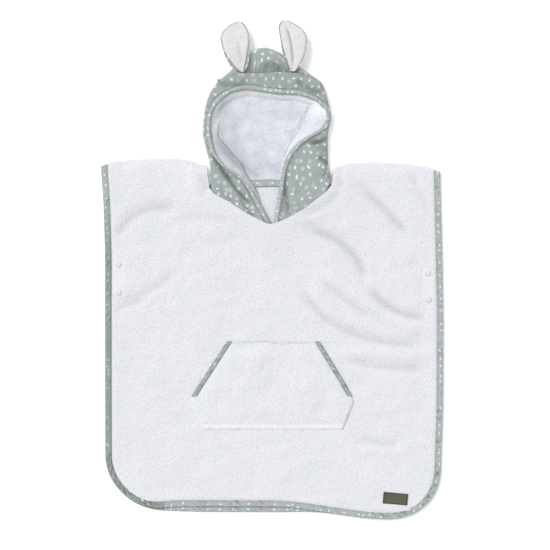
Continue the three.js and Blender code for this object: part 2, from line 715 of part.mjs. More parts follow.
// The binding of the face opening, in the same sections as the band.
const faceSlack = 0.8; // room inside the face binding
const faceHeld = pressedStack + faceSlack;
const faceProfile = foldedStrip(faceWidth, faceHeld);
function faceWall(d, z) {
  return band.map((row) => faceProfile.map((line) => {
    const t = line[d];
    const depth = faceHeld + gap + strip - line[z];
    if (t < edgeInset) {
      const before = mix(row[0], row[1], t / edgeInset);
      return before.addScaledVector(normals.get(row[1]), -depth);
    }
    const share = (t - edgeInset) / (bindingReach - edgeInset);
    return mix(inwards(row[1], depth), inwards(row[2], depth), share);
  }));
}
slab("face_binding", bias, faceWall("outD", "outZ"), faceWall("inD", "inZ"));

// A strip over the back neck seam, on the floor of the hood.
const tapeXs = [-76, -50, -25, 0, 25, 60];
const tapeYs = [146.5, 152, 158];
const tapeWall = (z) => tapeXs.map((x) => tapeYs.map((y) => point(x, y, z)));
slab("neck_tape", bias, tapeWall(hoodStack + gap + strip), tapeWall(hoodStack + gap));

// The ears: edges of the cotton and of the terry on it by height, and the underside's level.
const earColumns = ["y", "left", "right", "z", "coverLeft", "coverRight"];
const earRows = {
  right: table(earColumns, [
    [345.5, -55.5, -49, 13.4, -53.8, -50.6],
    [353.5, -70.4, -43.8, 13.8, -63, -48.5],
    [362.3, -76, -40.8, 14.2, -70, -46.6],
    [375, -82.5, -39.4, 14, -79.5, -44],
    [390, -87, -39.2, 12.8, -85.3, -42],
    [402.5, -90, -39.2, 11.4, -88.4, -40.8],
    [411, -88.4, -40.2, 10.2, -86.8, -41.9],
    [419, -83.7, -42.5, 9, -82, -44.3],
    [427, -74.5, -46.6, 7.8, -72.6, -48.6],
    [432.5, -65, -51, 7, -63.4, -52.8],
    [434.5, -59, -54, 6.6, -58, -55],
  ]),
  left: table(earColumns, [
    [347, 31, 40.5, 13.4, 32.5, 39.5],
    [353, 28.5, 46, 13.7, 30.5, 44.6],
    [360, 25.7, 50.5, 14.1, 28.3, 49],
    [375, 20, 56.9, 14, 23.5, 55.4],
    [390, 16.4, 59.8, 12.8, 18.8, 58.3],
    [402, 14.9, 61.3, 11.5, 16.4, 59.8],
    [411, 13.3, 59.3, 10.4, 14.9, 57.7],
    [418, 12.3, 55, 9.2, 13.9, 53.2],
    [426, 11.8, 46.4, 8, 13.6, 44.2],
    [433, 15.6, 34, 7.2, 17.6, 32],
    [436.3, 20.5, 26.5, 6.8, 21.5, 25.5],
  ]),
};
const dish = 2.4; // how far an ear's sides curl up
const earLift = 0.35; // extra clearance between the two cloths of an ear
const earSteps = 5; // columns across an ear
for (const [side, rows] of Object.entries(earRows)) {
  const wall = (from, to, level) => rows.map((row) => range(earSteps + 1).map((i) => {
    const x = lerp(row[from], row[to], i / earSteps);
    const u = (x - row.left) / (row.right - row.left);
    return point(x, row.y, row.z + level + dish * (2 * u - 1) ** 2);
  }));
  slab(`ear_${side}_outer`, sage, wall("left", "right", cotton), wall("left", "right", 0));
  const low = cotton + gap + earLift;
  slab(`ear_${side}_inner`, terryWhite, wall("coverLeft", "coverRight", low + terry),
    wall("coverLeft", "coverRight", low));
}

// A solid of revolution that stands on the xy plane, from its middle outwards and back.
const around = 12;
function turned(name, material, profile, place) {
  const points = [point(0, 0, profile[0].z), point(0, 0, profile[profile.length - 1].z)];
  const faces = [];
  const ring = (i, k) => 2 + i * around + (k % around);
  const body = profile.slice(1, -1);
  for (const { r, z } of body) {
    for (const k of range(around)) {
      const turn = 2 * Math.PI * k / around;
      points.push(point(r * Math.cos(turn), r * Math.sin(turn), z));
    }
  }
  const lastRing = body.length - 1;
  for (const k of range(around)) {
    faces.push(0, ring(0, k + 1), ring(0, k), 1, ring(lastRing, k), ring(lastRing, k + 1));
    for (const i of range(lastRing)) {
      faces.push(ring(i, k), ring(i, k + 1), ring(i + 1, k + 1));
      faces.push(ring(i, k), ring(i + 1, k + 1), ring(i + 1, k));
    }
  }
  for (const p of points) p.add(place);
  return solid(name, material, points, faces);
}

const capProfile = table(["r", "z"], [
  [0, 0],
  [capRadius - 0.2, 0],
  [capRadius, 0.5],
  [capRadius - 0.9, 1.4],
  [2.8, 1.75],
  [0, capHeight],
]);
const studHeight = 0.8; // a back cap is flat and lies in a dent of the back panel
const studProfile = table(["r", "z"], [[0, 0], [capRadius, 0], [capRadius, studHeight], [0, studHeight]]);
const snaps = table(["name", "x", "y"], [
  ["right_upper", -269.3, 10.5],
  ["right_lower", -269.3, -38.7],
  ["left_upper", 272.7, -4.6],
  ["left_lower", 274.6, -50.8],
]);
const wellRadius = capRadius + 2 * gap;
const wellStart = -1; // the dents are cut from below the panel
const wells = [];
for (const { name, x, y } of snaps) {
  const under = range(around).map((k) => {
    const turn = 2 * Math.PI * k / around;
    return frontTop(x + capRadius * Math.cos(turn), y + capRadius * Math.sin(turn));
  });
  const level = Math.max(frontTop(x, y), ...under) + gap;
  turned(`snap_${name}_front`, plastic, capProfile, point(x, y, level));
  turned(`snap_${name}_back`, plastic, studProfile, point(x, y, 0));
  const tall = studHeight + gap - wellStart;
  const well = wasm.Manifold.cylinder(tall, wellRadius, wellRadius, around);
  wells.push(well.translate([x, y, wellStart]));
}

// The back panel is dented from below where the snaps' back caps lie.
const backShape = new wasm.Mesh({
  numProp: 3,
  vertProperties: new Float32Array(backMesh.geometry.attributes.position.array),
  triVerts: new Uint32Array(backMesh.geometry.index.array),
});
const dented = wasm.Manifold.ofMesh(backShape).subtract(wasm.Manifold.union(wells)).getMesh();
backMesh.geometry = new THREE.BufferGeometry()
  .setAttribute("position", new THREE.BufferAttribute(dented.vertProperties, 3))
  .setIndex(new THREE.BufferAttribute(dented.triVerts, 1));

// The label lies above the hem, turned a little.
const labelSize = { x: 216, y: -400.3, wide: 43, deep: 20, thick: 0.5, turn: -0.085 };
const labelSteps = { wide: 6, deep: 3 };
function labelWall(level) {
  const { x, y, wide, deep, turn } = labelSize;
  return range(labelSteps.wide + 1).map((i) => range(labelSteps.deep + 1).map((j) => {
    const u = wide * (i / labelSteps.wide - 0.5);
    const v = deep * (j / labelSteps.deep - 0.5);
    const px = x + u * Math.cos(turn) - v * Math.sin(turn);
    const py = y + u * Math.sin(turn) + v * Math.cos(turn);
    return point(px, py, frontTop(px, py) + pocketLift + level);
  }));
}
slab("label", woven, labelWall(labelSize.thick), labelWall(0));

export default part;
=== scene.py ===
import math

import bpy
import numpy as np
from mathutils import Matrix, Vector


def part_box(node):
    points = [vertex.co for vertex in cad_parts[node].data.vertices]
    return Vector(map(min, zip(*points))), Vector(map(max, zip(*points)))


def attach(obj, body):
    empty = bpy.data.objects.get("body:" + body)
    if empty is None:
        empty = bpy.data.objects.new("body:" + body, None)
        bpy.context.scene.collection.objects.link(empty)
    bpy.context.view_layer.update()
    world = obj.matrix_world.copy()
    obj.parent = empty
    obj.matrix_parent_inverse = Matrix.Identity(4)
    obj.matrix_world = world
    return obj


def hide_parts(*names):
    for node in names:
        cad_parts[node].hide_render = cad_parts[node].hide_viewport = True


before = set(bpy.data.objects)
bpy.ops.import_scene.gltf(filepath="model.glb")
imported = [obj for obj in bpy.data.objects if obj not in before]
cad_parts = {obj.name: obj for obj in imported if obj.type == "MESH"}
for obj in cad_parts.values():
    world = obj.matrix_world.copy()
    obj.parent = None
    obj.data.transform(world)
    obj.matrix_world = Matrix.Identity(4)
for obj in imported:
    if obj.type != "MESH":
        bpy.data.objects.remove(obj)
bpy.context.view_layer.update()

# A small hooded bath poncho, laid flat and seen from straight above.
# Lengths are in millimetres until a mesh is made, which is in metres.
# Sides are named as when the poncho is worn: "right" is on the left of the picture.
mm = 0.001
print("stage: frame loaded,", len(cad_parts), "nodes")


def stacked(*parts):
    return np.stack(np.broadcast_arrays(*parts), -1)


def table(columns, rows):
    return dict(zip(columns.split(), np.array(rows, float).T))


def read(rows, key, value, column, blur=0):
    spots = np.linspace(-blur, blur, 7 if blur else 1)
    return sum(np.interp(value + spot, rows[key], rows[column]) for spot in spots) / len(spots)


def lerp(a, b, t):
    return a + (b - a) * t


def smooth(x, low, high):
    t = np.clip((x - low) / (high - low), 0, 1)
    return t * t * (3 - 2 * t)


def fade(x, low, high):
    return 1 - smooth(x, low, high)


def through(points, t):  # a smooth curve through points, at t counted in points
    points = np.asarray(points, float)
    t = np.atleast_1d(np.asarray(t, float))
    last = len(points) - 1
    i = np.clip(np.floor(t).astype(int), 0, last - 1)
    padded = np.concatenate([[2 * points[0] - points[1]], points, [2 * points[-1] - points[-2]]])
    p, q, r, s = padded[i], padded[i + 1], padded[i + 2], padded[i + 3]
    f = (t - i).reshape((-1,) + (1,) * (points.ndim - 1))
    return q + 0.5 * f * (r - p + f * (2 * p - 5 * q + 4 * r - s + f * (3 * (q - r) + s - p)))


def wayAlong(points, axis=0):  # the length gone at each point of a line, or of each line of a grid
    steps = np.linalg.norm(np.diff(points, axis=axis), axis=-1)
    return np.concatenate([0 * steps.take([0], axis), np.cumsum(steps, axis)], axis)


def between(goals, marks, points):  # places between points that stand at rising marks
    return stacked(*[np.interp(goals, marks, column) for column in points.T])


def partWay(points, share):  # places at shares of a polyline's length
    points = np.asarray(points, float)
    gone = wayAlong(points)
    return between(np.clip(np.atleast_1d(share), 0, 1) * gone[-1], gone, points)


def nearest(line, x, y):  # distance from a polyline and share of the way along it
    best = np.full(np.shape(x), 1e9)
    share = np.zeros(np.shape(x))
    count = len(line) - 1
    for i in range(count):
        (ax, ay), (bx, by) = line[i][:2], line[i + 1][:2]
        dx, dy = bx - ax, by - ay
        t = np.clip(((x - ax) * dx + (y - ay) * dy) / (dx * dx + dy * dy), 0, 1)
        distance = np.hypot(x - ax - t * dx, y - ay - t * dy)
        closer = distance < best
        best = np.where(closer, distance, best)
        share = np.where(closer, (i + t) / count, share)
    return best, share


def ripple(x, y, length, seed, count=9):  # uneven waves of about one length, from -1 to 1
    draws = np.random.default_rng(seed)
    total = np.zeros(np.broadcast(x, y).shape)
    for turn, phase, stretch in draws.random((count, 3)) * [2 * math.pi, 2 * math.pi, 0.9]:
        pace = 2 * math.pi / (length * (0.6 + stretch))
        total = total + np.sin(pace * (x * math.cos(turn) + y * math.sin(turn)) + phase)
    return total / math.sqrt(count)


foldColumns = "ax ay bx by cx cy height width"


def foldLines(rows):  # a bend from a over b to c
    lines = []
    for ax, ay, bx, by, cx, cy, height, width in zip(*rows.values()):
        t = np.linspace(0, 1, 13)[:, None]
        start, over, end = np.array([ax, ay]), np.array([bx, by]), np.array([cx, cy])
        pull = 2 * over - (start + end) / 2
        lines.append(((1 - t) ** 2 * start + 2 * t * (1 - t) * pull + t * t * end, height, width))
    return lines


def folded(lines, x, y, least=0.3):  # height that the folds give to a place
    total = np.zeros(np.shape(x))
    for line, height, width in lines:
        distance, share = nearest(line, x, y)
        ends = smooth(share, 0, 0.15) * fade(share, 0.85, 1)
        total += height * (least + (1 - least) * ends) * np.exp(-((distance / width) ** 2))
    return total


class Wire:  # one output of a shader tree, so that shader maths reads as arithmetic
    def __init__(self, finish, socket):
        self.finish = finish
        self.socket = socket

    def sum(self, operation, a, b):
        return self.finish.add("ShaderNodeMath", {"operation": operation}, {0: a, 1: b})

    def __add__(self, other):
        return self.sum("ADD", self, other)

    def __radd__(self, other):
        return self.sum("ADD", other, self)

    def __sub__(self, other):
        return self.sum("SUBTRACT", self, other)

    def __rsub__(self, other):
        return self.sum("SUBTRACT", other, self)

    def __mul__(self, other):
        return self.sum("MULTIPLY", self, other)

    def __rmul__(self, other):
        return self.sum("MULTIPLY", other, self)

    def __gt__(self, other):
        return self.sum("GREATER_THAN", self, other)

    def __lt__(self, other):
        return self.sum("LESS_THAN", self, other)


waveScale = 0.31  # of a wave texture with one ridge a metre


class Finish:
    def __init__(self, name):
        self.material = bpy.data.materials.new(name)
        self.material.use_nodes = True
        self.tree = self.material.node_tree
        self.tree.nodes.clear()

    def add(self, kind, settings=None, inputs=None, output=0):
        node = self.tree.nodes.new(kind)
        for name, value in (settings or {}).items():
            setattr(node, name, value)
        for name, value in (inputs or {}).items():
            if isinstance(value, Wire):
                self.tree.links.new(value.socket, node.inputs[name])
            else:
                node.inputs[name].default_value = value
        return Wire(self, node.outputs[output])

    def also(self, wire, output):  # another output of the node behind a wire
        return Wire(self, wire.socket.node.outputs[output])

    def place(self):  # the cloth's own flat coordinates, in metres
        settings = {"attribute_name": "cloth", "attribute_type": "GEOMETRY"}
        return self.add("ShaderNodeAttribute", settings, output="Vector")

    def shade(self):  # painted shade: how far a place lies in the shade of a seam or crease; below 0 a painted highlight, and on the snap strips their paler cloth
        settings = {"attribute_name": "seam", "attribute_type": "GEOMETRY"}
        return self.add("ShaderNodeAttribute", settings, output="Fac")

    def noise(self, place, size, detail=2.0, roughness=0.5):
        inputs = {"Vector": place, "Scale": 1 / (size * mm), "Detail": detail, "Roughness": roughness}
        return self.add("ShaderNodeTexNoise", None, inputs)

    def soft(self, value, low, high):  # 0 below low, 1 above high
        inputs = {"Value": value, "From Min": low, "From Max": high}
        return self.add("ShaderNodeMapRange", {"interpolation_type": "SMOOTHSTEP"}, inputs)

    def blend(self, share, a, b):
        settings = {"data_type": "RGBA", "blend_type": "MIX"}
        return self.add("ShaderNodeMix", settings, {0: share, 6: a, 7: b}, output=2)

    def threads(self, place, pitch, direction, distortion):  # fine ridges, a pitch apart
        inputs = {"Vector": place, "Scale": 1 / (pitch * mm) * waveScale, "Distortion": distortion}
        return self.add("ShaderNodeTexWave", {"bands_direction": direction}, inputs, output="Fac")

    def bump(self, height, depth, strength):
        inputs = {"Height": height, "Distance": depth * mm, "Strength": strength}
        return self.add("ShaderNodeBump", None, inputs)

    def close(self, colour, roughness, normal=None, uniform=None):
        inputs = {"Base Color": colour, "Roughness": roughness, **(uniform or {})}
        if normal:
            inputs["Normal"] = normal
        shader = self.add("ShaderNodeBsdfPrincipled", None, inputs)
        end = self.tree.nodes.new("ShaderNodeOutputMaterial")
        self.tree.links.new(shader.socket, end.inputs["Surface"])
        return self.material


def sRgb(red, green, blue):  # a colour as a picture gives it, as light
    levels = [value / 255 for value in (red, green, blue)]
    light = [v / 12.92 if v <= 0.04045 else ((v + 0.055) / 1.055) ** 2.4 for v in levels]
    return (*light, 1)


terryLook = {
    "pale": sRgb(244, 245, 250),
    "deep": sRgb(224, 226, 234),
    # colours of the painted shade in seams and creases and of the painted highlight
    "paintedShade": sRgb(172, 174, 181),
    "paintedHighlightAndPaleStrip": sRgb(255, 255, 255),  # painted highlight where the painted shade is below 0, and the snap strips' paler cloth
    "loop": 1.5,  # size of a loop
    "tuft": 4.5,  # size of the uneven patches
    "loopDepth": 1.3,
    "patch": 0.25,  # strength and size of the broad light and dark patches
    "patchSize": 55,
}


def terryFinish(name, look):
    finish = Finish(name)
    place = finish.place()
    cells = finish.add("ShaderNodeTexVoronoi", {"feature": "F1"},
                       {"Vector": place, "Scale": 1 / (look["loop"] * mm), "Randomness": 0.9})
    tufts = finish.noise(place, look["tuft"], 3.0, 0.65)
    drift = finish.noise(place, look["patchSize"], 2.0)
    loops = 1 - finish.soft(cells, 0.0, 0.75)
    spread = look["patch"] * (drift - 0.5)
    shade = finish.soft(0.5 * loops + 0.9 * tufts + spread, 0.22, 0.92)
    cloth = finish.blend(shade, look["deep"], look["pale"])
    # painted shade in seams and creases from the seam attribute; below 0, painted highlight and the snap
    # strips' paler cloth
    shaded = finish.blend(finish.shade(), cloth, look["paintedShade"])
    colour = finish.blend(0 - finish.shade(), shaded, look["paintedHighlightAndPaleStrip"])
    height = loops * 0.55 + tufts * 1.5
    normal = finish.bump(height, look["loopDepth"], 0.75)
    return finish.close(colour, 0.95, normal, {
        "Sheen Weight": 0.25, "Sheen Roughness": 0.6, "Specular IOR Level": 0.1})


printLook = {
    "ground": sRgb(157, 167, 165),
    "groundLight": sRgb(174, 183, 183),
    "dab": sRgb(229, 234, 232),
    "blot": sRgb(205, 212, 210),
    # colour of the painted shade in seams and creases
    "paintedShade": sRgb(97, 109, 101),
    "spacing": 12.6,
    "dabLength": 6.6,
    "dabWidth": 4.1,
    "blotSize": 8.6,
    "blotShare": 0.42,
    "bareFrom": 0.93,  # draws above it leave a cell without a dab
}
stripLook = dict(printLook, ground=sRgb(165, 175, 173), groundLight=sRgb(184, 193, 193),
                 spacing=10.5, dabLength=5.2, dabWidth=3.3, blotSize=5.6)


def printFinish(name, look):
    finish = Finish(name)
    place = finish.place()
    cells = finish.add("ShaderNodeTexVoronoi", {"voronoi_dimensions": "2D", "feature": "F1"},
                       {"Vector": place, "Scale": 1 / (look["spacing"] * mm), "Randomness": 0.62},
                       output="Position")
    draw = finish.add("ShaderNodeSeparateColor", None, {"Color": finish.also(cells, "Color")})
    kind = finish.also(draw, "Green")
    strength = finish.also(draw, "Blue")
    away = finish.add("ShaderNodeVectorMath", {"operation": "SUBTRACT"}, {0: place, 1: cells})
    turned = finish.add("ShaderNodeVectorRotate", {"rotation_type": "Z_AXIS"},
                        {"Vector": away, "Angle": draw * 6.28})

    def oval(long, wide, wobble, core):  # 1 in an oval round a cell's middle and 0 outside it
        scaled = finish.add("ShaderNodeVectorMath", {"operation": "MULTIPLY"},
                            {0: turned, 1: (2 / (long * mm), 2 / (wide * mm), 0)})
        reach = finish.add("ShaderNodeVectorMath", {"operation": "LENGTH"}, {0: scaled},
                           output="Value")
        return 1 - finish.soft(reach + (finish.noise(place, 3.2, 1.0) - 0.5) * wobble, core, 1.1)

    isBlot = kind < look["blotShare"]
    bare = strength > look["bareFrom"]
    dab = oval(look["dabLength"], look["dabWidth"], 0.5, 0.74) * (1 - isBlot)
    blot = oval(look["blotSize"], look["blotSize"] * 0.86, 0.9, 0.55) * isBlot
    drift = finish.noise(place, 30, 3.0)
    ground = finish.blend(drift, look["ground"], look["groundLight"])
    withBlots = finish.blend(blot * (0.55 + 0.4 * strength) * (1 - bare), ground, look["blot"])
    printed = finish.blend(dab * (1 - bare), withBlots, look["dab"])
    # painted shade in seams and creases, from the seam attribute
    colour = finish.blend(finish.shade(), printed, look["paintedShade"])
    warp, weft = (finish.threads(place, 1.1, direction, 0.4) for direction in "XY")
    height = warp * weft * 0.5 + finish.noise(place, 9, 2.0) * 1.6
    normal = finish.bump(height, 0.5, 0.5)
    return finish.close(colour, 0.82, normal, {
        "Sheen Weight": 0.15, "Sheen Roughness": 0.5, "Specular IOR Level": 0.2})


def plasticFinish(name):
    finish = Finish(name)
    place = finish.place()
    colour = finish.blend(finish.noise(place, 3, 1.0), sRgb(222, 223, 217), sRgb(232, 233, 228))
    return finish.close(colour, 0.34, None, {"Specular IOR Level": 0.45})


def threadFinish(name, tone):
    finish = Finish(name)
    place = finish.place()
    colour = finish.blend(finish.noise(place, 1.2, 1.0), tone, tuple(0.82 * v for v in tone[:3]) + (1,))
    return finish.close(colour, 0.7, None, {"Sheen Weight": 0.2})


def labelFinish(name):
    finish = Finish(name)
    place = finish.place()
    axes = finish.add("ShaderNodeSeparateXYZ", None, {0: place})
    ribs = finish.threads(place, 0.8, "Y", 0.2)
    along = finish.add("ShaderNodeMath", {"operation": "ABSOLUTE"}, {0: axes})
    across = finish.add("ShaderNodeMath", {"operation": "ABSOLUTE"}, {0: finish.also(axes, "Y")})
    edge = finish.add("ShaderNodeMath", {"operation": "MAXIMUM"},
                      {0: finish.soft(across, 0.0074, 0.0078), 1: finish.soft(along, 0.0185, 0.019)})
    ground = finish.blend(finish.noise(place, 2.2, 2.0), sRgb(78, 80, 63), sRgb(98, 99, 85))
    colour = finish.blend(edge, ground, sRgb(66, 69, 50))
    normal = finish.bump(ribs, 0.25, 0.6)
    return finish.close(colour, 0.6, normal, {"Sheen Weight": 0.1})


# darker colours for the painted shade on the lining and the ears
liningLook = dict(terryLook, pale=sRgb(236, 240, 247), deep=sRgb(212, 216, 225),
                  paintedShade=sRgb(138, 141, 146), patch=1.3, patchSize=24)
earLook = dict(terryLook, pale=sRgb(235, 235, 236), deep=sRgb(222, 222, 222),
               paintedShade=sRgb(160, 161, 154))
finishes = {
    "white_terry": terryFinish("whiteTerry", terryLook),
    "hood_lining": terryFinish("hoodLining", liningLook),
    "ear_terry": terryFinish("earTerry", earLook),
    "sage_print_cotton": printFinish("sagePrintCotton", printLook),
    "sage_bias_strip": printFinish("sageBiasStrip", stripLook),
    "off_white_plastic": plasticFinish("snapPlastic"),
    "dark_woven_label": labelFinish("wovenLabel"),
}
whiteThread = threadFinish("whiteThread", sRgb(226, 228, 230))
# white thread made brighter as a painted highlight along the pocket's hem
paintedHighlightThread = threadFinish("paintedHighlightThread", sRgb(254, 254, 255))
sageThread = threadFinish("sageThread", sRgb(160, 170, 168))
print("stage: finishes")


def addObject(name, data):
    item = bpy.data.objects.new(name, data)
    bpy.context.scene.collection.objects.link(item)
    return item


def shape(name, points, faces, cloth, material, sharp=50, seam=None):
    points = np.asarray(points, float).reshape(-1, 3)
    mesh = bpy.data.meshes.new(name)
    mesh.from_pydata((points * mm).tolist(), [], faces)
    mesh.update()
    mesh.shade_smooth()
    mesh.set_sharp_from_angle(angle=math.radians(sharp))
    flat = mesh.attributes.new("cloth", "FLOAT_VECTOR", "POINT")
    flat.data.foreach_set("vector", (np.asarray(cloth, float) * mm).ravel())
    # the seam attribute carries painted shade; below 0 it carries painted highlight and the snap strips'
    # paler cloth
    dark = mesh.attributes.new("seam", "FLOAT", "POINT")
    dark.data.foreach_set("value", np.zeros(len(points)) if seam is None else np.asarray(seam, float))
    mesh.materials.append(material)
    piece = addObject(name, mesh)
    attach(piece, "root")
    return piece


def closed(name, outer, inner, faces, cloth, material, sharp=50, seam=None):
    # a closed wall from faces on its outer points, the same faces inside and a rim
    count = len(outer)
    a, b, c = outer[faces[:, 0]], outer[faces[:, 1]], outer[faces[:, 2]]
    thick = (outer - inner)[faces[:, 0]]
    if np.einsum("ij,ij", np.cross(b - a, c - a), thick) < 0:
        faces = faces[:, ::-1]
    edges = np.concatenate([faces[:, [i, (i + 1) % 4]] for i in range(4)])
    edges = edges[edges[:, 0] != edges[:, 1]]
    codes, backwards = edges @ [count, 1], edges @ [1, count]
    rim = edges[~np.isin(backwards, codes)]
    sides = stacked(rim[:, 1], rim[:, 0], rim[:, 0] + count, rim[:, 1] + count)
    every = np.concatenate([faces, faces[:, ::-1] + count, sides]).tolist()
    kept = [list(dict.fromkeys(face)) for face in every]
    kept = [face for face in kept if len(face) > 2]
    flat = np.concatenate([cloth, np.zeros((count, 1))], 1) if cloth.shape[1] == 2 else cloth
    shade = None if seam is None else np.concatenate([seam, seam])
    return shape(name, np.concatenate([outer, inner]), kept, np.concatenate([flat, flat]), material,
                 sharp, shade)


def gridFaces(index):
    around = (index[:-1, :-1], index[:-1, 1:], index[1:, 1:], index[1:, :-1])
    return np.stack([corner.ravel() for corner in around], -1)


def wall(name, outer, inner, cloth, material, sharp=50, seam=None):  # between two grids
    index = np.arange(outer.shape[0] * outer.shape[1]).reshape(outer.shape[:2])
    shade = None if seam is None else np.broadcast_to(seam, index.shape).ravel()
    return closed(name, outer.reshape(-1, 3), inner.reshape(-1, 3), gridFaces(index),
                  cloth.reshape(-1, cloth.shape[-1]), material, sharp, shade)


def dressed(piece, node):  # in place of a solid
    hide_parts(node)
    return piece


def clothPiece(name, outer, inner, cloth, slot, node, sharp=50, seam=None):
    return dressed(wall(name, outer, inner, cloth, finishes[slot], sharp, seam), node)


def stitches(name, path, up, material, length=3.0, space=1.0, wide=0.55):
    # one mesh of small raised threads along a line, up is away from the cloth
    path = np.asarray(path, float)
    lengths = wayAlong(path)
    total = lengths[-1]
    count = max(2, int(total / (length + space)))
    starts = (np.arange(count) + 0.5) / count
    half = 0.5 * length / total
    a, b = partWay(path, starts - half), partWay(path, starts + half)
    ups = np.broadcast_to(np.asarray(up, float), path.shape)
    lift = between(starts * total, lengths, ups)
    lift /= np.linalg.norm(lift, axis=1, keepdims=True)
    along = (b - a) / np.linalg.norm(b - a, axis=1, keepdims=True)
    side = np.cross(along, lift)
    around = 5
    turn = 2 * math.pi * np.arange(around) / around
    ring = (side[:, None] * (0.4 * wide * np.cos(turn))[None, :, None]
            + lift[:, None] * (0.45 * wide * (np.sin(turn) + 0.55))[None, :, None])
    near, far = (lerp(a, b, share)[:, None] + ring for share in (0.16, 0.84))
    tips = np.stack([a, b], 1) - lift[:, None] * 0.1
    points = np.concatenate([tips, near, far], 1)
    k, after = np.arange(around) + 2, (np.arange(around) + 1) % around + 2
    pattern = [[0, j, i] for i, j in zip(k, after)] + [[1, i + around, j + around] for i, j in zip(k, after)]
    pattern += [[i, j, j + around, i + around] for i, j in zip(k, after)]
    faces = [[int(i) + s * points.shape[1] for i in face] for s in range(count) for face in pattern]
    return shape(name, points, faces, points.reshape(-1, 3), material, 80)


body = {
    "terry": 2.2,
    "strip": 0.7,
    "gap": 0.3,
    "pressed": 1.0,  # terry inside a binding
    "pressedEnd": (10.5, 14.5),
    "edgeInset": 2.2,
    "boundWidth": 11,
    "frontRest": 2.5,
    "frontEdge": 3.3,
    "neckRise": 4.2,
    "neckSpread": 42,
    "puff": 1.8,
    "puffStart": (12, 55),  # how far in from the edge it grows
    "shoulderDepth": 24,
    "borderRise": 1.6,
    "borderEnd": (12, 45),
    "waist": 62,  # the height where the panel's rows stop following the hem
    "spacing": 3.3,  # of the panel's points
    "cornerRows": 30,
    "rows": 150,
}
sides = table("y left right", [
    [-340, -291.8, 296], [-245, -292.2, 299.3], [-86, -292.3, 300],
    [30, -292.3, 298], [122, -295.4, 295.5], [184, -300, 294.4],
])
hem = table("x back front", [
    [-212, -420.5, -418.5], [-170, -422.6, -414.7], [-128, -424.2, -414.4],
    [14, -424.7, -415], [54, -424, -418.8], [87, -425.2, -423.8],
    [130, -430.2, -430.2], [165, -435, -435], [205, -437.2, -437.2],
])
upper = table("x back front", [
    [-300, 181, 181], [-289, 186, 186], [-270, 191.8, 191.8], [-248, 193.4, 193.4],
    [-170, 196.4, 196.4], [-142, 191.8, 191.8], [-129, 186.4, 186.4], [-112.6, 182.8, 182.8],
    [-111.3, 149.4, 145.5], [-101.5, 149.4, 133.4], [-76.5, 149.4, 120.2], [-43, 149.8, 98.5],
    [-9.5, 149.8, 81.8], [0, 149.8, 80.6], [9.5, 149.8, 83.2], [27.3, 149.8, 91.6],
    [57.4, 149.8, 108.3], [94.3, 149.4, 136.8], [104.8, 149.4, 149], [105.8, 177, 177],
    [118, 182.9, 182.9], [132, 187.3, 187.3], [184, 189.7, 189.7], [248, 185.5, 185.5],
    [273, 181, 181], [285, 175.2, 175.2], [294.4, 172, 172],
])
corners = {
    "left": {"x": -192, "y": -322, "width": 100, "power": 2, "side": -1},
    "right": {"x": 196, "y": -340, "width": 100, "power": 2.3, "side": 1},
}
neckXs = np.array([-112.6, -111.3, 104.8, 105.8])  # the panels' points where the neckline starts


def isNeck(x, room=0):
    return (x > -112) & (x < 105.3 + room)


def sideX(name, which, y, inset=0):
    corner = corners[name]
    straight = read(sides, "y", y, name, 20) - corner["side"] * inset
    depth = corner["y"] - read(hem, "x", corner["x"], which) - inset
    k = np.clip((corner["y"] - y) / depth, 0, 1)
    reach = (1 - k ** corner["power"]) ** (1 / corner["power"])
    turned = corner["x"] + corner["side"] * (corner["width"] - inset) * reach
    return np.where(y >= corner["y"], straight, turned)


def placeOn(which, u, g, inset):
    # a place on a panel: u runs from side to side and g from hem to upper edge
    def side(name, x, by):
        low = read(hem, "x", corners[name]["x"], which) + by
        return sideX(name, which, lerp(low, read(upper, "x", x, which), g), by)

    left, right = side("left", -292, 0), side("right", 290, 0)
    x = lerp(left, right, u)
    x = x + (side("left", -292, inset) - left) * np.maximum(0, 1 - u / 0.15)
    x = x + (side("right", 290, inset) - right) * np.maximum(0, 1 - (1 - u) / 0.15)
    low = read(hem, "x", x, which, 12) + inset
    return x, lerp(low, read(upper, "x", x, which), g)


def fromEdge(x, y, which="front"):
    across = np.minimum(x - sideX("left", which, y), sideX("right", which, y) - x)
    return np.minimum(across, y - read(hem, "x", x, which, 12))


bodyFolds = foldLines(table(foldColumns, [
    [-278, 52, -231, 103, -161, 107, -3, 10],
    [-175, 80, -131, 93, -65, 82, -1.2, 10],
    [-117, 47, -87, 51, -56, 58, -1, 9],
    [-275, -52, -222, -40, -161, 2, -1.6, 9],
    [-276, -75, -257, -61, -222, -52, -2, 8],
    [-143, 184, -135, 157, -126, 131, 1.8, 9],
    [-121, 171, -116, 154, -114, 136, -2.2, 7],
    [154, 145, 198, 105, 241, 58, -3.4, 10],
    [49, 75, 128, 42, 163, -23, -4, 10],
    [163, -23, 215, -70, 276, -80, -4, 9],
    [49, -23, 128, -105, 282, -131, -3, 9],
    [80, -14, 128, -51, 175, -87, -2, 8],
    [93, -3, 180, -73, 268, -108, 2.6, 10],
    [75, -26, 110, -77, 145, -101, 1.6, 8],
    [236, 180, 261, 131, 273, 96, -1.5, 8],
    [49, 96, 93, 114, 119, 140, -2, 9],
    [115, 184, 117, 161, 121, 140, -2.2, 7],
    [128, -161, 198, -170, 276, -178, -2.2, 9],
    [136, -147, 198, -150, 268, -157, 1.6, 9],
    [154, -297, 189, -303, 224, -308, -1.8, 9],
    [154, -318, 189, -318, 224, -324, 1.2, 9],
]))
inNeck = isNeck(upper["x"])
neckFront = stacked(upper["x"][inNeck], upper["front"][inNeck])


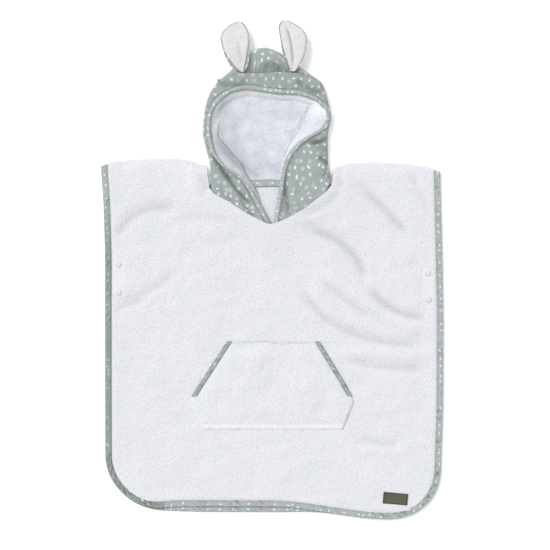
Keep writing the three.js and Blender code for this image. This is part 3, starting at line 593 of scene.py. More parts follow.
def riseAt(x, y):  # from puff, folds and the swelling at the neck
    fromShoulder = np.where(isNeck(x, 0.2), 30, read(upper, "x", x, "front") - y)
    edge = fromEdge(x, y)
    inside = smooth(edge, *body["puffStart"]) * smooth(fromShoulder, 0, body["shoulderDepth"])
    height = body["puff"] + folded(bodyFolds, x, y)
    swell = np.exp(-((nearest(neckFront, x, y)[0] / body["neckSpread"]) ** 2))
    border = body["borderRise"] * fade(edge, *body["borderEnd"])
    rise = np.maximum(0, height * inside) + body["neckRise"] * swell * smooth(fromShoulder, 0, 20)
    return rise + border


def crumple(x, y):  # what only cloth close up shows
    edge = fromEdge(x, y)
    slack = 0.55 * ripple(x, y, 95, 3) + 0.3 * ripple(x, y, 38, 5) + 0.12 * ripple(x, y, 13, 8)
    return slack * smooth(edge, 8, 40)


def frontRest(x, y):
    return body["frontRest"] + riseAt(x, y)


def frontTop(x, y):
    return frontRest(x, y) + body["terry"]


def pressedIn(rest, edge, depth):  # underside and top, thinner and at the edge's height in a binding
    thin = fade(depth, *body["pressedEnd"])
    low = lerp(rest, edge + body["strip"] + body["gap"], thin)
    return low, low + lerp(body["terry"], body["pressed"], thin)


shoulders = {"x": upper["x"][~inNeck], "y": upper["front"][~inNeck]}


def panelGrid(which, spacing):
    # places in rows from the hem to the waist and on to the shoulders, cut out along the neckline
    inset, waist = body["edgeInset"], body["waist"]
    columns = np.unique(np.concatenate([np.linspace(0, 1, int(600 / spacing)), (neckXs + 300) / 594.4]))
    bend = np.linspace(0, math.pi / 2, int(105 / spacing))[:-1]
    cornerPart = 0.205  # of the height below the waist
    g = np.concatenate([cornerPart * (1 - np.cos(bend)),
                        np.linspace(cornerPart, 1, int(380 / spacing))[:-1],
                        np.linspace(1, 2, int(126 / spacing))])
    u, g = np.meshgrid(columns, g)

    def height(low, high):
        return np.where(g <= 1, lerp(low, waist, g), lerp(waist, high, g - 1))

    ends = []
    for name, x in (("left", -292), ("right", 290)):
        low = read(hem, "x", corners[name]["x"], which) + inset
        ends.append(sideX(name, which, height(low, read(shoulders, "x", x, "y")), inset))
    x = lerp(ends[0], ends[1], u)
    y = height(read(hem, "x", x, which, 12) + inset, read(shoulders, "x", x, "y"))
    index = np.arange(x.size).reshape(x.shape)
    for c in range(x.shape[1]):
        if isNeck(x[-1, c]):
            top = read(upper, "x", x[:, c], which)
            over = np.flatnonzero(y[:, c] > top)
            first = over[0]
            y[first, c] = top[first]
            x[over, c], y[over, c] = x[first, c], y[first, c]
            index[over, c] = index[first, c]
    return x, y, index


def creases(lines, x, y):  # painted shade: how dark the shade in the troughs makes a place
    total = np.zeros(np.shape(x))
    for line, height, width in lines:
        if height < 0:
            distance, share = nearest(line, x, y)
            ends = smooth(share, 0, 0.2) * fade(share, 0.8, 1)
            total += -height * ends * np.exp(-((distance / (0.75 * width)) ** 2))
    return total


def panel(name, which, spacing, rest, edgeLevel, uneven, shade):
    x, y, index = panelGrid(which, spacing)
    depth = fromEdge(x, y, which)
    low, high = pressedIn(rest(x, y), edgeLevel, depth)
    lift = uneven(x, y) * smooth(depth, 11, 24)
    toTop = np.where(isNeck(x), 20, read(shoulders, "x", x, "y") - y)
    roundOff = 1.1 * fade(toTop, 0, 4)
    top = stacked(x, y, high + lift - roundOff).reshape(-1, 3)
    under = stacked(x, y, low + np.maximum(lift, 0) * (which == "front")).reshape(-1, 3)
    return closed(name, top, under, gridFaces(index), stacked(x.ravel(), y.ravel()),
                  finishes["white_terry"], 50, np.clip(shade(x, y), -1, 1).ravel())


# strips that carry the snaps: their lower right and upper left corners
patches = {"right": (-280.5, -44.5, -255.5, 17), "left": (261.5, -54, 284.5, 4)}


def onPatch(x, y):  # 1 on the strips and 0 beside them
    return sum(smooth(x, x0 - 1, x0 + 1) * smooth(-x, -x1 - 1, -x1 + 1)
               * smooth(y, y0 - 1, y0 + 1) * smooth(-y, -y1 - 1, -y1 + 1)
               for x0, y0, x1, y1 in patches.values())


def frontSlack(x, y):
    return 0.8 * crumple(x, y) * smooth(nearest(neckFront, x, y)[0], 8, 40)


def frontShade(x, y):
    # painted shade in the folds' troughs and beside the binding; the snap strips paler, as their cloth is
    shadeBesideBinding = fade(np.abs(fromEdge(x, y) - 12), 0, 3)
    return 0.1 * creases(bodyFolds, x, y) + 0.12 * shadeBesideBinding - 0.22 * onPatch(x, y)


def flatOut(x, y):  # for the back panel, which lies level
    return 0 * x


frontPanel = dressed(
    panel("frontPanelTerry", "front", body["spacing"], frontRest, body["frontEdge"], frontSlack, frontShade),
    "front_panel")
backPanel = dressed(
    panel("backPanelTerry", "back", 2 * body["spacing"], flatOut, 0, flatOut, flatOut),
    "back_panel")
print("stage: panels")


def stripProfile(width, held, puffed=0.25):
    # a strip folded over an edge: distance in from its bend, height, outside and inside
    high = held + 2 * (body["gap"] + body["strip"])
    half = high / 2
    shares = np.linspace(0, 1, 6)
    turns = np.linspace(math.pi / 2, -math.pi / 2, 9)[1:-1]
    topD = width - (width - 2) * shares
    bendD, bendZ = 1.6 * (1 - np.cos(turns)), half + half * np.sin(turns)
    lowD = 2 + (width - 2) * shares
    swell = puffed * np.sin(math.pi * shares)
    thick = body["strip"]
    outD = np.concatenate([topD, bendD, lowD])
    outZ = np.concatenate([high + swell, bendZ, 0 * shares])
    inD = np.concatenate([topD, bendD + 0.95, lowD])
    inZ = np.concatenate([high - thick + swell * 0.5, half + (half - thick) * np.sin(turns),
                          thick + 0 * shares])
    return outD, outZ, inD, inZ


def stripCloth(gone, outD, outZ, middle, shift=0):
    # a folded strip laid out: the way along it, and the way in from its bend on either side
    across = outD * np.where(outZ > middle, 1, -1) + shift
    return stacked(gone.reshape(-1, 1), across)


def stripStitches(name, path, up):
    return stitches(name, path, up, sageThread, 2.6, 0.9, 0.45)


binding = {"pucker": 0.75, "puckerLength": 8.0, "slant": 0.9, "stitchIn": 9.4, "handStitchIn": 7.6}


def boundEdge(name, which, level, node):
    cornerShare = 0.162
    turns = np.linspace(0, math.pi / 2, body["cornerRows"] + 1)[:-1]
    ups = np.concatenate([cornerShare * (1 - np.cos(turns)), np.linspace(cornerShare, 1, body["rows"])])
    acrossSteps = np.linspace(0, 1, body["rows"])[1:-1]
    stations = np.concatenate([
        stacked(0 * ups, ups[::-1]),
        stacked(acrossSteps, 0 * acrossSteps),
        stacked(0 * ups + 1, ups),
    ])
    profile = stripProfile(body["boundWidth"], body["pressed"])
    u, g = stations[:, :1], stations[:, 1:]
    middleX, middleY = placeOn(which, u[:, 0], g[:, 0], 0)
    gone = wayAlong(stacked(middleX, middleY))
    corner = smooth(0.25 - g[:, 0], 0.05, 0.2) * (np.abs(u[:, 0] - 0.5) > 0.49)

    def waves(d):
        slanted = gone[:, None] + binding["slant"] * d[None, :]
        rough = ripple(slanted, 0.4 * d[None, :] + 0 * slanted, binding["puckerLength"], 21, 7)
        slow = ripple(gone, 0 * gone, 60, 23, 5)[:, None]
        return rough * (0.3 + 0.25 * slow + 0.7 * corner[:, None])

    def side(d, z):
        x, y = placeOn(which, u, g, d[None, :])
        onTop = smooth(z, 1.6, 2.8)[None, :] * smooth(d, 1, 5)[None, :] * smooth(12 - d, 0, 3)[None, :]
        return stacked(x, y, level + z[None, :] + binding["pucker"] * waves(d) * onTop)

    outD, outZ, inD, inZ = profile
    # painted shade along the strip's folded and inner edges, in the troughs of its puckers, and over the
    # binding along the side where u is 0
    border = 0.32 * fade(outD, 0.2, 2.2) + 0.3 * smooth(outD, 9.2, 10.6)
    puckerShade = np.clip(-waves(outD), 0, 1) * (0.5 + 0.5 * corner[:, None]) * smooth(outD, 1, 4)
    onLeft = (u < 0.01) * smooth(0.95 - g, 0, 0.2) * 0.4
    strip = clothPiece(name, side(outD, outZ), side(inD, inZ), stripCloth(gone, outD, outZ, 1.5),
                       "sage_bias_strip", node, 60, np.clip(border + puckerShade + onLeft, 0, 0.85))
    seam = np.stack([*placeOn(which, u[:, 0], g[:, 0], binding["stitchIn"]),
                     level + outZ[1] + 0.25 + 0 * gone], -1)
    return strip, stripStitches(name + "Stitches", seam, (0, 0, 1))


backBinding, backStitches = boundEdge("backBindingStrip", "back", 0, "back_binding")
frontBinding, frontStitches = boundEdge("frontBindingStrip", "front", body["frontEdge"], "front_binding")
print("stage: bindings")


pocket = {"foot": -279, "handFoot": -221, "top": -125, "lift": 0.45, "puff": 1.3,
          "columns": 90, "rows": 56, "boundWidth": 9}
pocketRows = table("y left right", [
    [-279, -122, 124.5], [-255, -130, 134.5], [-231, -139, 144], [-221, -141, 140.5],
    [-197, -125.5, 127.5], [-173, -110, 112.5], [-149, -94.5, 98], [-125, -79, 83.5],
])


def onFront(x, y):
    return frontTop(x, y) + 0.8 * crumple(x, y)


def pocketLevel(x, y):
    return onFront(x, y) + pocket["lift"]


def pocketPiece():
    foot, head = pocket["foot"], pocket["top"]
    u, y = np.meshgrid(np.linspace(0, 1, pocket["columns"]), np.linspace(foot, head, pocket["rows"]))
    isOpen = y >= pocket["handFoot"]
    inset = np.where(isOpen, body["edgeInset"], 0.2)
    left = read(pocketRows, "y", y, "left", 3) + inset
    right = read(pocketRows, "y", y, "right", 3) - inset
    x = lerp(left, right, u)
    across = np.minimum(x - left, right - x)
    thin = isOpen * fade(across, 8, 11.5)
    low = pocketLevel(x, y) + lerp(0.3, 1.0, thin)
    tall = np.minimum(head - y, y - foot)
    inside = smooth(across, 3, 38) * smooth(tall, 3, 30)
    rim = fade(np.minimum(tall, np.where(isOpen, 9, across)), 0, 2.2) * 1.2
    hemmed = 0.55 * fade(np.abs(y - foot - 6.5), 0.3, 1.8) + 0.35 * fade(np.abs(head - y - 7), 0.3, 1.8)
    slack = 0.25 * ripple(x, y, 26, 31) + 0.45 * ripple(x, y, 70, 33)
    lift = inside * (pocket["puff"] + slack)
    high = low + lerp(body["terry"], body["pressed"], thin) + lift - rim - hemmed
    sunk = fade(np.where(y < -200, np.minimum(y - foot, np.where(isOpen, 9, across)), 9), 0, 3.5)
    high, low = high - 1.1 * sunk, low - 1.3 * sunk
    outer, inner = stacked(x, y, high), stacked(x, y, low + lift * 0.7)
    # painted shade along the top edge, in a wavy line under it and along the lower side at positive x, and a
    # painted highlight along the hem
    ends = fade(tall, 0.5, 3)
    wander = 2.2 + 1.6 * np.sin(x / 17) + 0.8 * np.sin(x / 7.3)
    slot = np.exp(-(((head - y - wander) / 1.5) ** 2)) * smooth(across, 6, 20)
    paintedHemHighlight = 0.75 * (y < -260) * fade(y - foot, 6, 10.5) * smooth(across, 0, 6)
    shade = 0.3 * ends * (y > -200) + 0.4 * slot - paintedHemHighlight
    shade = shade + 0.25 * (x > 0) * ~isOpen * fade(across, 0, 2)
    return clothPiece("pocketTerry", outer, inner, stacked(x + 900, y), "white_terry", "pocket",
                      50, shade)


def handBinding(name, edgeName, side, node):
    outD, outZ, inD, inZ = stripProfile(pocket["boundWidth"], body["pressed"])
    levels = np.linspace(pocket["top"], pocket["handFoot"], 44)[:, None]
    gone = np.abs(levels - pocket["top"]) * 1.2

    def face(d, z):
        x = read(pocketRows, "y", levels, edgeName) - side * d[None, :]
        y = levels + 0 * x
        return stacked(x, y, pocketLevel(x, y) + z[None, :] + 0.15 * ripple(gone, 0 * gone, 11, 9, 4))

    flat = stripCloth(gone, outD, outZ, 1.5, 40 * side)
    folds = ripple(gone + outD[None, :], 0 * gone + 0.5 * outD[None, :], 10, 27, 6)
    # painted shade along the strip's edges and in its folds, and the whole strip a little darker
    border = 0.35 * fade(outD, 0.2, 2) + 0.4 * smooth(outD, 7.4, 8.6)
    dark = np.clip(0.14 + border[None, :] + 0.45 * np.clip(-folds, 0, 1), 0, 0.85)
    strip = clothPiece(name, face(outD, outZ), face(inD, inZ), flat, "sage_bias_strip", node, 60, dark)
    x = read(pocketRows, "y", levels[:, 0], edgeName) - side * binding["handStitchIn"]
    seam = stacked(x, levels[:, 0], pocketLevel(x, levels[:, 0]) + outZ[1] + 0.1)
    return strip, stripStitches(name + "Stitches", seam, (0, 0, 1))


pocketTerry = pocketPiece()
handRight, handRightStitches = handBinding("pocketBindingRight", "left", -1, "pocket_binding_right")
handLeft, handLeftStitches = handBinding("pocketBindingLeft", "right", 1, "pocket_binding_left")
print("stage: pocket")


hood = {
    "cotton": 1.0,
    "liningDepth": 1.6,
    "bag": 13,
    "faceWidth": 8,
    "floorSections": 7,
    "floorStep": 8,  # rows from one section to the next
    "sideStep": 14,
    "topStep": 16,
    "columns": 56,
}
# Sections of the band: its face edge e, its outermost fold f with its height there, and its seam s.
sideColumns = "ex ey ez fx fy rise sx sy"
leftSections = table(sideColumns, [
    [-3, 81.6, 10.4, -110.3, 153, 10, -44, 150.5],
    [-21, 117, 10.8, -110.4, 158, 10.5, -47, 160],
    [-40, 147, 12, -110.2, 165, 11, -52, 172],
    [-61, 168, 13, -109.3, 175, 11.5, -60, 187],
    [-82.3, 182, 13.8, -109.5, 189, 12.3, -71, 203],
    [-99.8, 206.5, 14.4, -114.5, 208, 12.8, -84, 222],
    [-106.8, 236.3, 14.8, -121, 236, 13, -92.5, 250],
    [-107, 266, 15, -119.5, 270, 13, -92.8, 280],
    [-98, 287, 15, -111, 305, 13, 0, 0],
    [-84, 301, 15.2, -96, 329, 13, 0, 0],
])
rightSections = table(sideColumns, [
    [3.4, 81.8, 10.4, 103.8, 153, 10, 21, 150.5],
    [12, 140, 11, 102.5, 170, 11, 21, 168],
    [19.5, 183, 12, 98.7, 187, 12, 23, 188],
    [37, 213.5, 13, 97.6, 206, 12.5, 27, 208],
    [57.8, 231, 13.8, 98, 225, 13, 32, 227],
    [84, 246, 14.6, 98.9, 243, 13, 40, 243],
    [95.5, 260, 14.8, 101.8, 257, 13, 49, 259],
    [98.5, 271, 15, 103, 273, 13, 60, 283],
    [94.5, 281, 15, 96.6, 302, 13, 0, 0],
    [86, 287, 15.1, 86, 330, 13, 0, 0],
])
topSections = table("ex ey ez fx fy sx sy", [
    [-68.3, 311, 15.3, -96, 329, -63, 345.6],
    [-43.8, 315, 15.5, -60, 360, -38, 344.8],
    [-15.8, 311.5, 15.5, -27, 387, -9.5, 345.3],
    [13, 307.5, 15.3, 3, 386, 20, 346],
    [46, 306, 15.2, 38, 363, 46, 344],
    [76, 296, 15.1, 86, 330, 68, 337.8],
])
sideSteps = len(leftSections["ex"])
topSteps = len(topSections["ex"]) - 1


def spot(rows, k, names, z=0.0):  # one place of a section
    values = [rows[name][k] for name in names.split()]
    return np.array(values + [z] * (3 - len(values)), float)


def level(place):
    return place * np.array([1, 1, 0])


def heading(start, end):
    step = level(end - start)
    return step / np.linalg.norm(step)


def quarter(fold, towards, reach, middle, upwards):  # from a fold inwards, rising or sinking
    turn = np.linspace(0, math.pi / 2, 9)
    feet = fold + towards * (reach * (1 - np.cos(turn)))[:, None]
    feet[:, 2] = middle + upwards * middle * np.sin(turn)
    return feet


def floorPoint(rows):
    return spot(rows, hood["floorSections"], "sx sy")


def column(rows, names):  # one place of every section
    return np.stack([rows[name] for name in names.split()] + [0 * rows["ex"]], -1)


def overCrown(w, q):  # from the floor over the crown to the ear seam, share q of the way
    foot = lerp(floorPoint(leftSections), floorPoint(rightSections), w)
    fold = through(column(topSections, "fx fy"), w * topSteps)[0]
    seam = through(column(topSections, "sx sy"), w * topSteps)[0]
    seam[2] = hood["bag"]
    middle = hood["bag"] / 2
    reach = min(middle, 0.8 * np.linalg.norm(level(seam) - fold))
    under = quarter(fold, heading(fold, foot), middle, middle, -1)
    over = quarter(fold, heading(fold, seam), reach, middle, 1)
    if q <= 1 / 3:
        return partWay([foot, under[-1]], 3 * q)[0]
    if q <= 2 / 3:
        return partWay(under[::-1], 3 * q - 1)[0]
    bent, t = 0.62, 3 * q - 2
    if t <= bent:
        return partWay(over, t / bent)[0]
    return partWay([over[-1], seam], (t - bent) / (1 - bent))[0]


def seamAt(rows, t):  # the band's seam on the floor and then up over the crown
    floor = hood["floorSections"]
    if t > floor:
        return overCrown(0 if rows is leftSections else 1, (t - floor) / 3)
    return through(column(rows, "sx sy")[:floor + 1], t)[0]


def bandPath(rows, k):  # from the face edge over the outermost fold to the seam
    edge, fold, rise = spot(rows, k, "ex ey ez"), spot(rows, k, "fx fy"), rows["rise"][k]
    reach = min(rise / 2, 0.7 * np.linalg.norm(level(edge) - fold))
    over = quarter(fold, heading(fold, edge), reach, rise / 2, 1)[::-1]
    sign = -1 if rows is leftSections else 1
    f = np.linspace(0, 1, 17)[:, None]
    front = lerp(edge, over[0], f)
    bends = {0: 1, 1: 0.3}.get(k, 0)
    if bends:
        kept = neckFront[(neckFront[:, 0] * sign > 8) & (neckFront[:, 0] * sign < 102)]
        kept = kept[np.argsort(sign * kept[:, 0])]
        line = [level(edge), *[np.array([x, y + 0.5, 0]) for x, y in kept], level(over[0])]
        sag = level(partWay(line, f[:, 0]) - front) * bends
        sag[-1] = 0
        front = front + sag
    topSide = np.concatenate([front[:-1], over])
    if k == hood["floorSections"] + 2:
        return topSide
    seam = seamAt(rows, k)
    inner = min(rise / 2, 0.8 * np.linalg.norm(level(seam) - fold))
    under = quarter(fold, heading(fold, seam), inner, rise / 2, -1)
    return np.concatenate([topSide, under[1:], [lerp(under[-1], seam, 0.5)], [seam]])


def topPath(k):
    edge, seam = spot(topSections, k, "ex ey ez"), spot(topSections, k, "sx sy", hood["bag"])
    f = np.linspace(0, 1, 17)[:, None]
    return lerp(edge, seam, f) + np.array([0, 0, 1.6]) * np.sin(math.pi * f)


bindingReach = hood["faceWidth"] + 1.2  # the face binding's end, along the cloth


def placed(path):  # places along a section, closer together where the cloth turns
    steps = np.diff(path, axis=0)
    lengths = np.linalg.norm(steps, axis=1)
    ways = steps / lengths[:, None]
    turn = np.concatenate([[0], np.arccos(np.clip((ways[1:] * ways[:-1]).sum(1), -1, 1))])
    gone = wayAlong(path)
    rate = (lengths + 14 * turn) / lengths
    knots = np.concatenate([[bindingReach], gone[gone > bindingReach]])
    part = np.searchsorted(gone, (knots[1:] + knots[:-1]) / 2) - 1
    measured = np.concatenate([[0], np.cumsum(np.diff(knots) * rate[part])])
    goals = measured[-1] * np.arange(1, hood["columns"] + 1) / hood["columns"]
    distances = np.concatenate([[0, body["edgeInset"], bindingReach], np.interp(goals, measured, knots)])
    return partWay(path, distances / gone[-1])


floor = hood["floorSections"]
lastSection = 2 * sideSteps + topSteps
sideTimes = np.concatenate([np.arange(floor * hood["floorStep"]) / hood["floorStep"],
                            floor + np.arange(3 * hood["sideStep"]) / hood["sideStep"]])
topTimes = sideSteps + np.arange(topSteps * hood["topStep"] + 1) / hood["topStep"]
times = np.concatenate([sideTimes, topTimes, lastSection - sideTimes[::-1]])


def seamPoint(t):
    if t <= sideSteps:
        return seamAt(leftSections, t)
    if t >= sideSteps + topSteps:
        return seamAt(rightSections, lastSection - t)
    return overCrown((t - sideSteps) / topSteps, 1)


def bandGrid():  # rows go round the hood, columns from the face edge to the seam
    sections = [placed(bandPath(leftSections, k)) for k in range(sideSteps)]
    sections += [placed(topPath(k)) for k in range(topSteps + 1)]
    sections += [placed(bandPath(rightSections, k)) for k in reversed(range(sideSteps))]
    grid = through(sections, times)
    seam = np.array([seamPoint(t) for t in times])
    pull = (np.arange(grid.shape[1]) / (grid.shape[1] - 1)) ** 3
    grid = grid + (seam - grid[:, -1])[:, None, :] * pull[None, :, None]
    grid[:, -1] = seam
    grid[..., 2] = np.maximum(grid[..., 2], 0)
    return grid


def backGrid():  # rows go up the hood's back, and its borders are the band's seam
    ups = np.concatenate([sideTimes, [sideSteps]])
    ways = np.linspace(0, 1, len(topTimes))
    grid = np.zeros((len(ups), len(ways), 3))
    for r, t in enumerate(ups):
        for c, w in enumerate(ways):
            onFloor = t <= floor
            grid[r, c] = (lerp(seamAt(leftSections, t), seamAt(rightSections, t), w) if onFloor
                          else overCrown(w, (t - floor) / 3))
    return grid


band, back = bandGrid(), backGrid()
bandIndex = np.arange(band.shape[0] * band.shape[1]).reshape(band.shape[:2])
backIndex = bandIndex.size + np.arange(back.shape[0] * back.shape[1]).reshape(back.shape[:2])
# both pieces share the points along their seam, and so the normals there
upwards = np.arange(len(back))
backIndex[:, 0] = bandIndex[upwards, -1]
backIndex[:, -1] = bandIndex[len(band) - 1 - upwards, -1]
backIndex[-1, :] = bandIndex[len(back) - 1 + np.arange(back.shape[1]), -1]
spots = np.concatenate([band.reshape(-1, 3), back.reshape(-1, 3)])


def normalsOf(points, grids):
    total = np.zeros_like(points)
    for index in grids:
        cell = [index[:-1, :-1], index[1:, :-1], index[1:, 1:], index[:-1, 1:]]
        cross = np.cross(points[cell[2]] - points[cell[0]], points[cell[3]] - points[cell[1]])
        cross /= np.maximum(np.linalg.norm(cross, axis=-1, keepdims=True), 1e-9)
        for corner in cell:
            np.add.at(total, corner, cross)
    return total / np.maximum(np.linalg.norm(total, axis=1, keepdims=True), 1e-9)


outwards = normalsOf(spots, (bandIndex, backIndex))

# folds of the hood's outside, where it faces up
hoodFolds = foldLines(table(foldColumns, [
    [-104, 206, -90, 178, -70, 156, -3.0, 5.5],
    [-84, 172, -62, 140, -34, 112, -2.8, 4],
    [-58, 128, -44, 106, -30, 92, -1.8, 3.5],
    [-92, 208, -66, 160, -30, 112, 1.8, 5],
    [-70, 196, -52, 158, -34, 140, -1.0, 4],
    [-96, 150, -80, 128, -62, 116, -0.9, 5],
    [70, 222, 86, 214, 102, 196, -1.2, 11],
    [22, 176, 24, 134, 33, 90, -2.6, 4],
    [31, 178, 36, 134, 44, 98, 1.8, 4],
    [62, 222, 82, 224, 101, 233, -2.6, 5],
    [78, 198, 90, 192, 101, 182, -2.8, 5],
    [86, 172, 96, 166, 104, 160, -2.0, 4],
    [-112, 290, -104, 262, -110, 226, -1.2, 5],
    [-96, 330, -70, 322, -38, 334, -1.2, 7],
    [40, 334, 62, 318, 90, 306, -1.4, 6],
    [-20, 352, 0, 358, 16, 350, -1.6, 5],
]))


def hoodSlack(points):
    x, y, z = points.T
    soft = 0.55 * ripple(x + z, y, 34, 41) + 0.28 * ripple(x, y - z, 13, 43)
    facesUp = smooth(outwards[:, 2], 0.1, 0.6)
    return soft * (0.35 + 0.65 * facesUp) + facesUp * folded(hoodFolds, x, y)


lifted = hoodSlack(spots)
lifted[bandIndex[:, :3]] *= 0.45
lifted = np.where(spots[:, 2] < 1.5, 0, lifted)


def layer(index, depth):  # points at a depth in the cloth
    return spots[index] + outwards[index] * (lifted[index] - depth)[..., None]


def unrolled(grid, shift):
    # each row of the band laid out from its face edge, in the direction in which it leaves it
    away = grid[..., :2] - grid[:, :1, :2]
    middle = grid.shape[1] // 3
    ways = away[:, middle] / np.linalg.norm(away[:, middle], axis=1, keepdims=True)
    return grid[:, :1, :2] + ways[:, None] * wayAlong(grid, 1)[..., None] + [shift, 0]


def unrolledUp(grid, shift):  # each column of the back laid out from the neck upwards
    return stacked(grid[..., 0] + shift, grid[0, :, 1] + wayAlong(grid))


def trimmed(index, ends, step):  # points with the grid's borders moved back from the seam
    points, source = spots[index].copy(), spots[index]
    clear = np.where(source[..., 2] > 3, step[1], step[0])  # above the floor, or on it

    def move(a, b, amount):
        return (b - a) / np.linalg.norm(b - a, axis=-1, keepdims=True) * amount[..., None]

    if "start" in ends:
        points[:, 0] += move(source[:, 0], source[:, 1], clear[:, 0])
    if "end" in ends:
        points[:, -1] += move(source[:, -1], source[:, -2], clear[:, -1])
    if "last" in ends:
        points[-1] += move(source[-1], source[-2], clear[-1])
    return points


def hoodPiece(name, node, look, index, ends, step, depths, flat, seam=None):
    points = trimmed(index, ends, step)
    outer, inner = (points + outwards[index] * (lifted[index] - depth)[..., None] for depth in depths)
    return dressed(wall(name, outer, inner, flat, finishes[look], 50, seam), node)


# The band's lining shows inside the opening: from under the binding down to its seam on the back,
# and at the right neck as a roll that stands up. Border by section, and how much of a roll it is.
liningRoll = {
    "thick": 1.1,
    "columns": 26,
    "under": 5.0,  # how far it reaches under the binding
    "drop": 5.3,  # from the face edge down to it
    "level": 4.9,  # its border's height, and where it merges with the back's lining
    "merged": 3.2,
    "fold": 2.6,
}
liningBorder = table("t x y roll", [
    [0.9, -24, 131, 0.7], [1.6, -29.4, 142.8, 1], [2.4, -45.5, 168.7, 1], [3.2, -57, 189.4, 1],
    [4.3, -77.7, 213.5, 1], [5.6, -94, 232.8, 0.75], [6.3, -95.5, 252, 0.2], [7, -95, 266, 0],
    [8, -90, 284, 0], [9, -78, 294, 0], [10, -62, 300, 0], [11, -42, 303, 0], [12, -15, 300.5, 0],
    [13, 13, 296, 0], [14, 42, 294.5, 0], [15, 62, 289, 0], [16, 66, 287, 0], [17, 63, 281, 0],
    [18, 58, 269, 0], [19, 53, 257, 0], [20, 46, 243.5, 0], [21, 37, 230, 0], [22, 27.5, 212, 0],
    [23, 17, 184, 0], [23.6, 13.5, 166, 0],
])

clothed = bandIndex[:, 1:]
fromFace = wayAlong(band, 1).mean(0)[1:]
upFacing = smooth(outwards[:, 2], 0.1, 0.6)
# painted shade in the troughs of the hood's folds, where its outside faces up
foldShade = upFacing * creases(hoodFolds, spots[:, 0], spots[:, 1])
cottonEdge, liningEdge = (0.25, 0.25), (0.3, 1.2)  # gap to the seam, on the floor and above it
cottonDepths = (0, hood["cotton"])
liningEnd = hood["liningDepth"] + body["terry"]
pressedDepth = np.full(clothed.shape, liningEnd)
pressedDepth[:, :2] = hood["liningDepth"] + body["pressed"]


def bandShade():  # painted shade over the brow, in the folds and beside the face binding
    browShade = 0.16 * smooth(spots[clothed][..., 1], 275, 315)
    shadeBesideBinding = 0.45 * fade(np.abs(fromFace - 9), 0.5, 2.2)[None, :]
    return np.clip(browShade + 0.30 * foldShade[clothed] + shadeBesideBinding, 0, 0.85)


def backShade():  # painted shade in the folds and at the ear seam
    dark = 0.30 * foldShade[backIndex]
    dark[-3:] += np.array([0.35, 0.5, 0.6])[:, None]
    return np.clip(dark, 0, 0.85)


bandCotton = hoodPiece(
    "hoodBandCotton", "hood_band_outer", "sage_print_cotton",
    clothed, ["end"], cottonEdge, cottonDepths, unrolled(spots[clothed], 0), bandShade())
bandLining = hoodPiece(
    "hoodBandLining", "hood_band_lining", "hood_lining",
    clothed, ["end"], liningEdge, (hood["liningDepth"], pressedDepth), unrolled(spots[clothed], 3000))
backCotton = hoodPiece(
    "hoodBackCotton", "hood_back_outer", "sage_print_cotton",
    backIndex, ["start", "end", "last"], cottonEdge, cottonDepths,
    unrolledUp(spots[backIndex], 700), backShade())
pinch = foldLines(table(foldColumns, [
    [-60, 190, -40, 176, -22, 160, 0.5, 6], [-34, 176, -20, 184, -6, 190, 0.35, 7],
    [10, 168, 4, 178, -10, 186, 0.3, 6], [-70, 262, -66, 240, -60, 222, 0.3, 7],
]))


def backLiningShade():  # painted shadow beside the roll on the right, and painted shade in a few small pinches
    across, up = spots[backIndex][..., 0], spots[backIndex][..., 1]
    rollEdge = np.interp(up, liningBorder["y"][:9], liningBorder["x"][:9])
    rollShadow = np.exp(-np.maximum(0, across - rollEdge) / 26) * smooth(up, 120, 190)
    return np.clip(0.34 * rollShadow + 0.5 * folded(pinch, across, up, 0), 0, 0.8)


backLining = hoodPiece(
    "hoodBackLining", "hood_back_lining", "hood_lining",
    backIndex, ["start", "end", "last"], liningEdge, (hood["liningDepth"], liningEnd),
    unrolledUp(spots[backIndex], 3600), backLiningShade())
print("stage: hood")


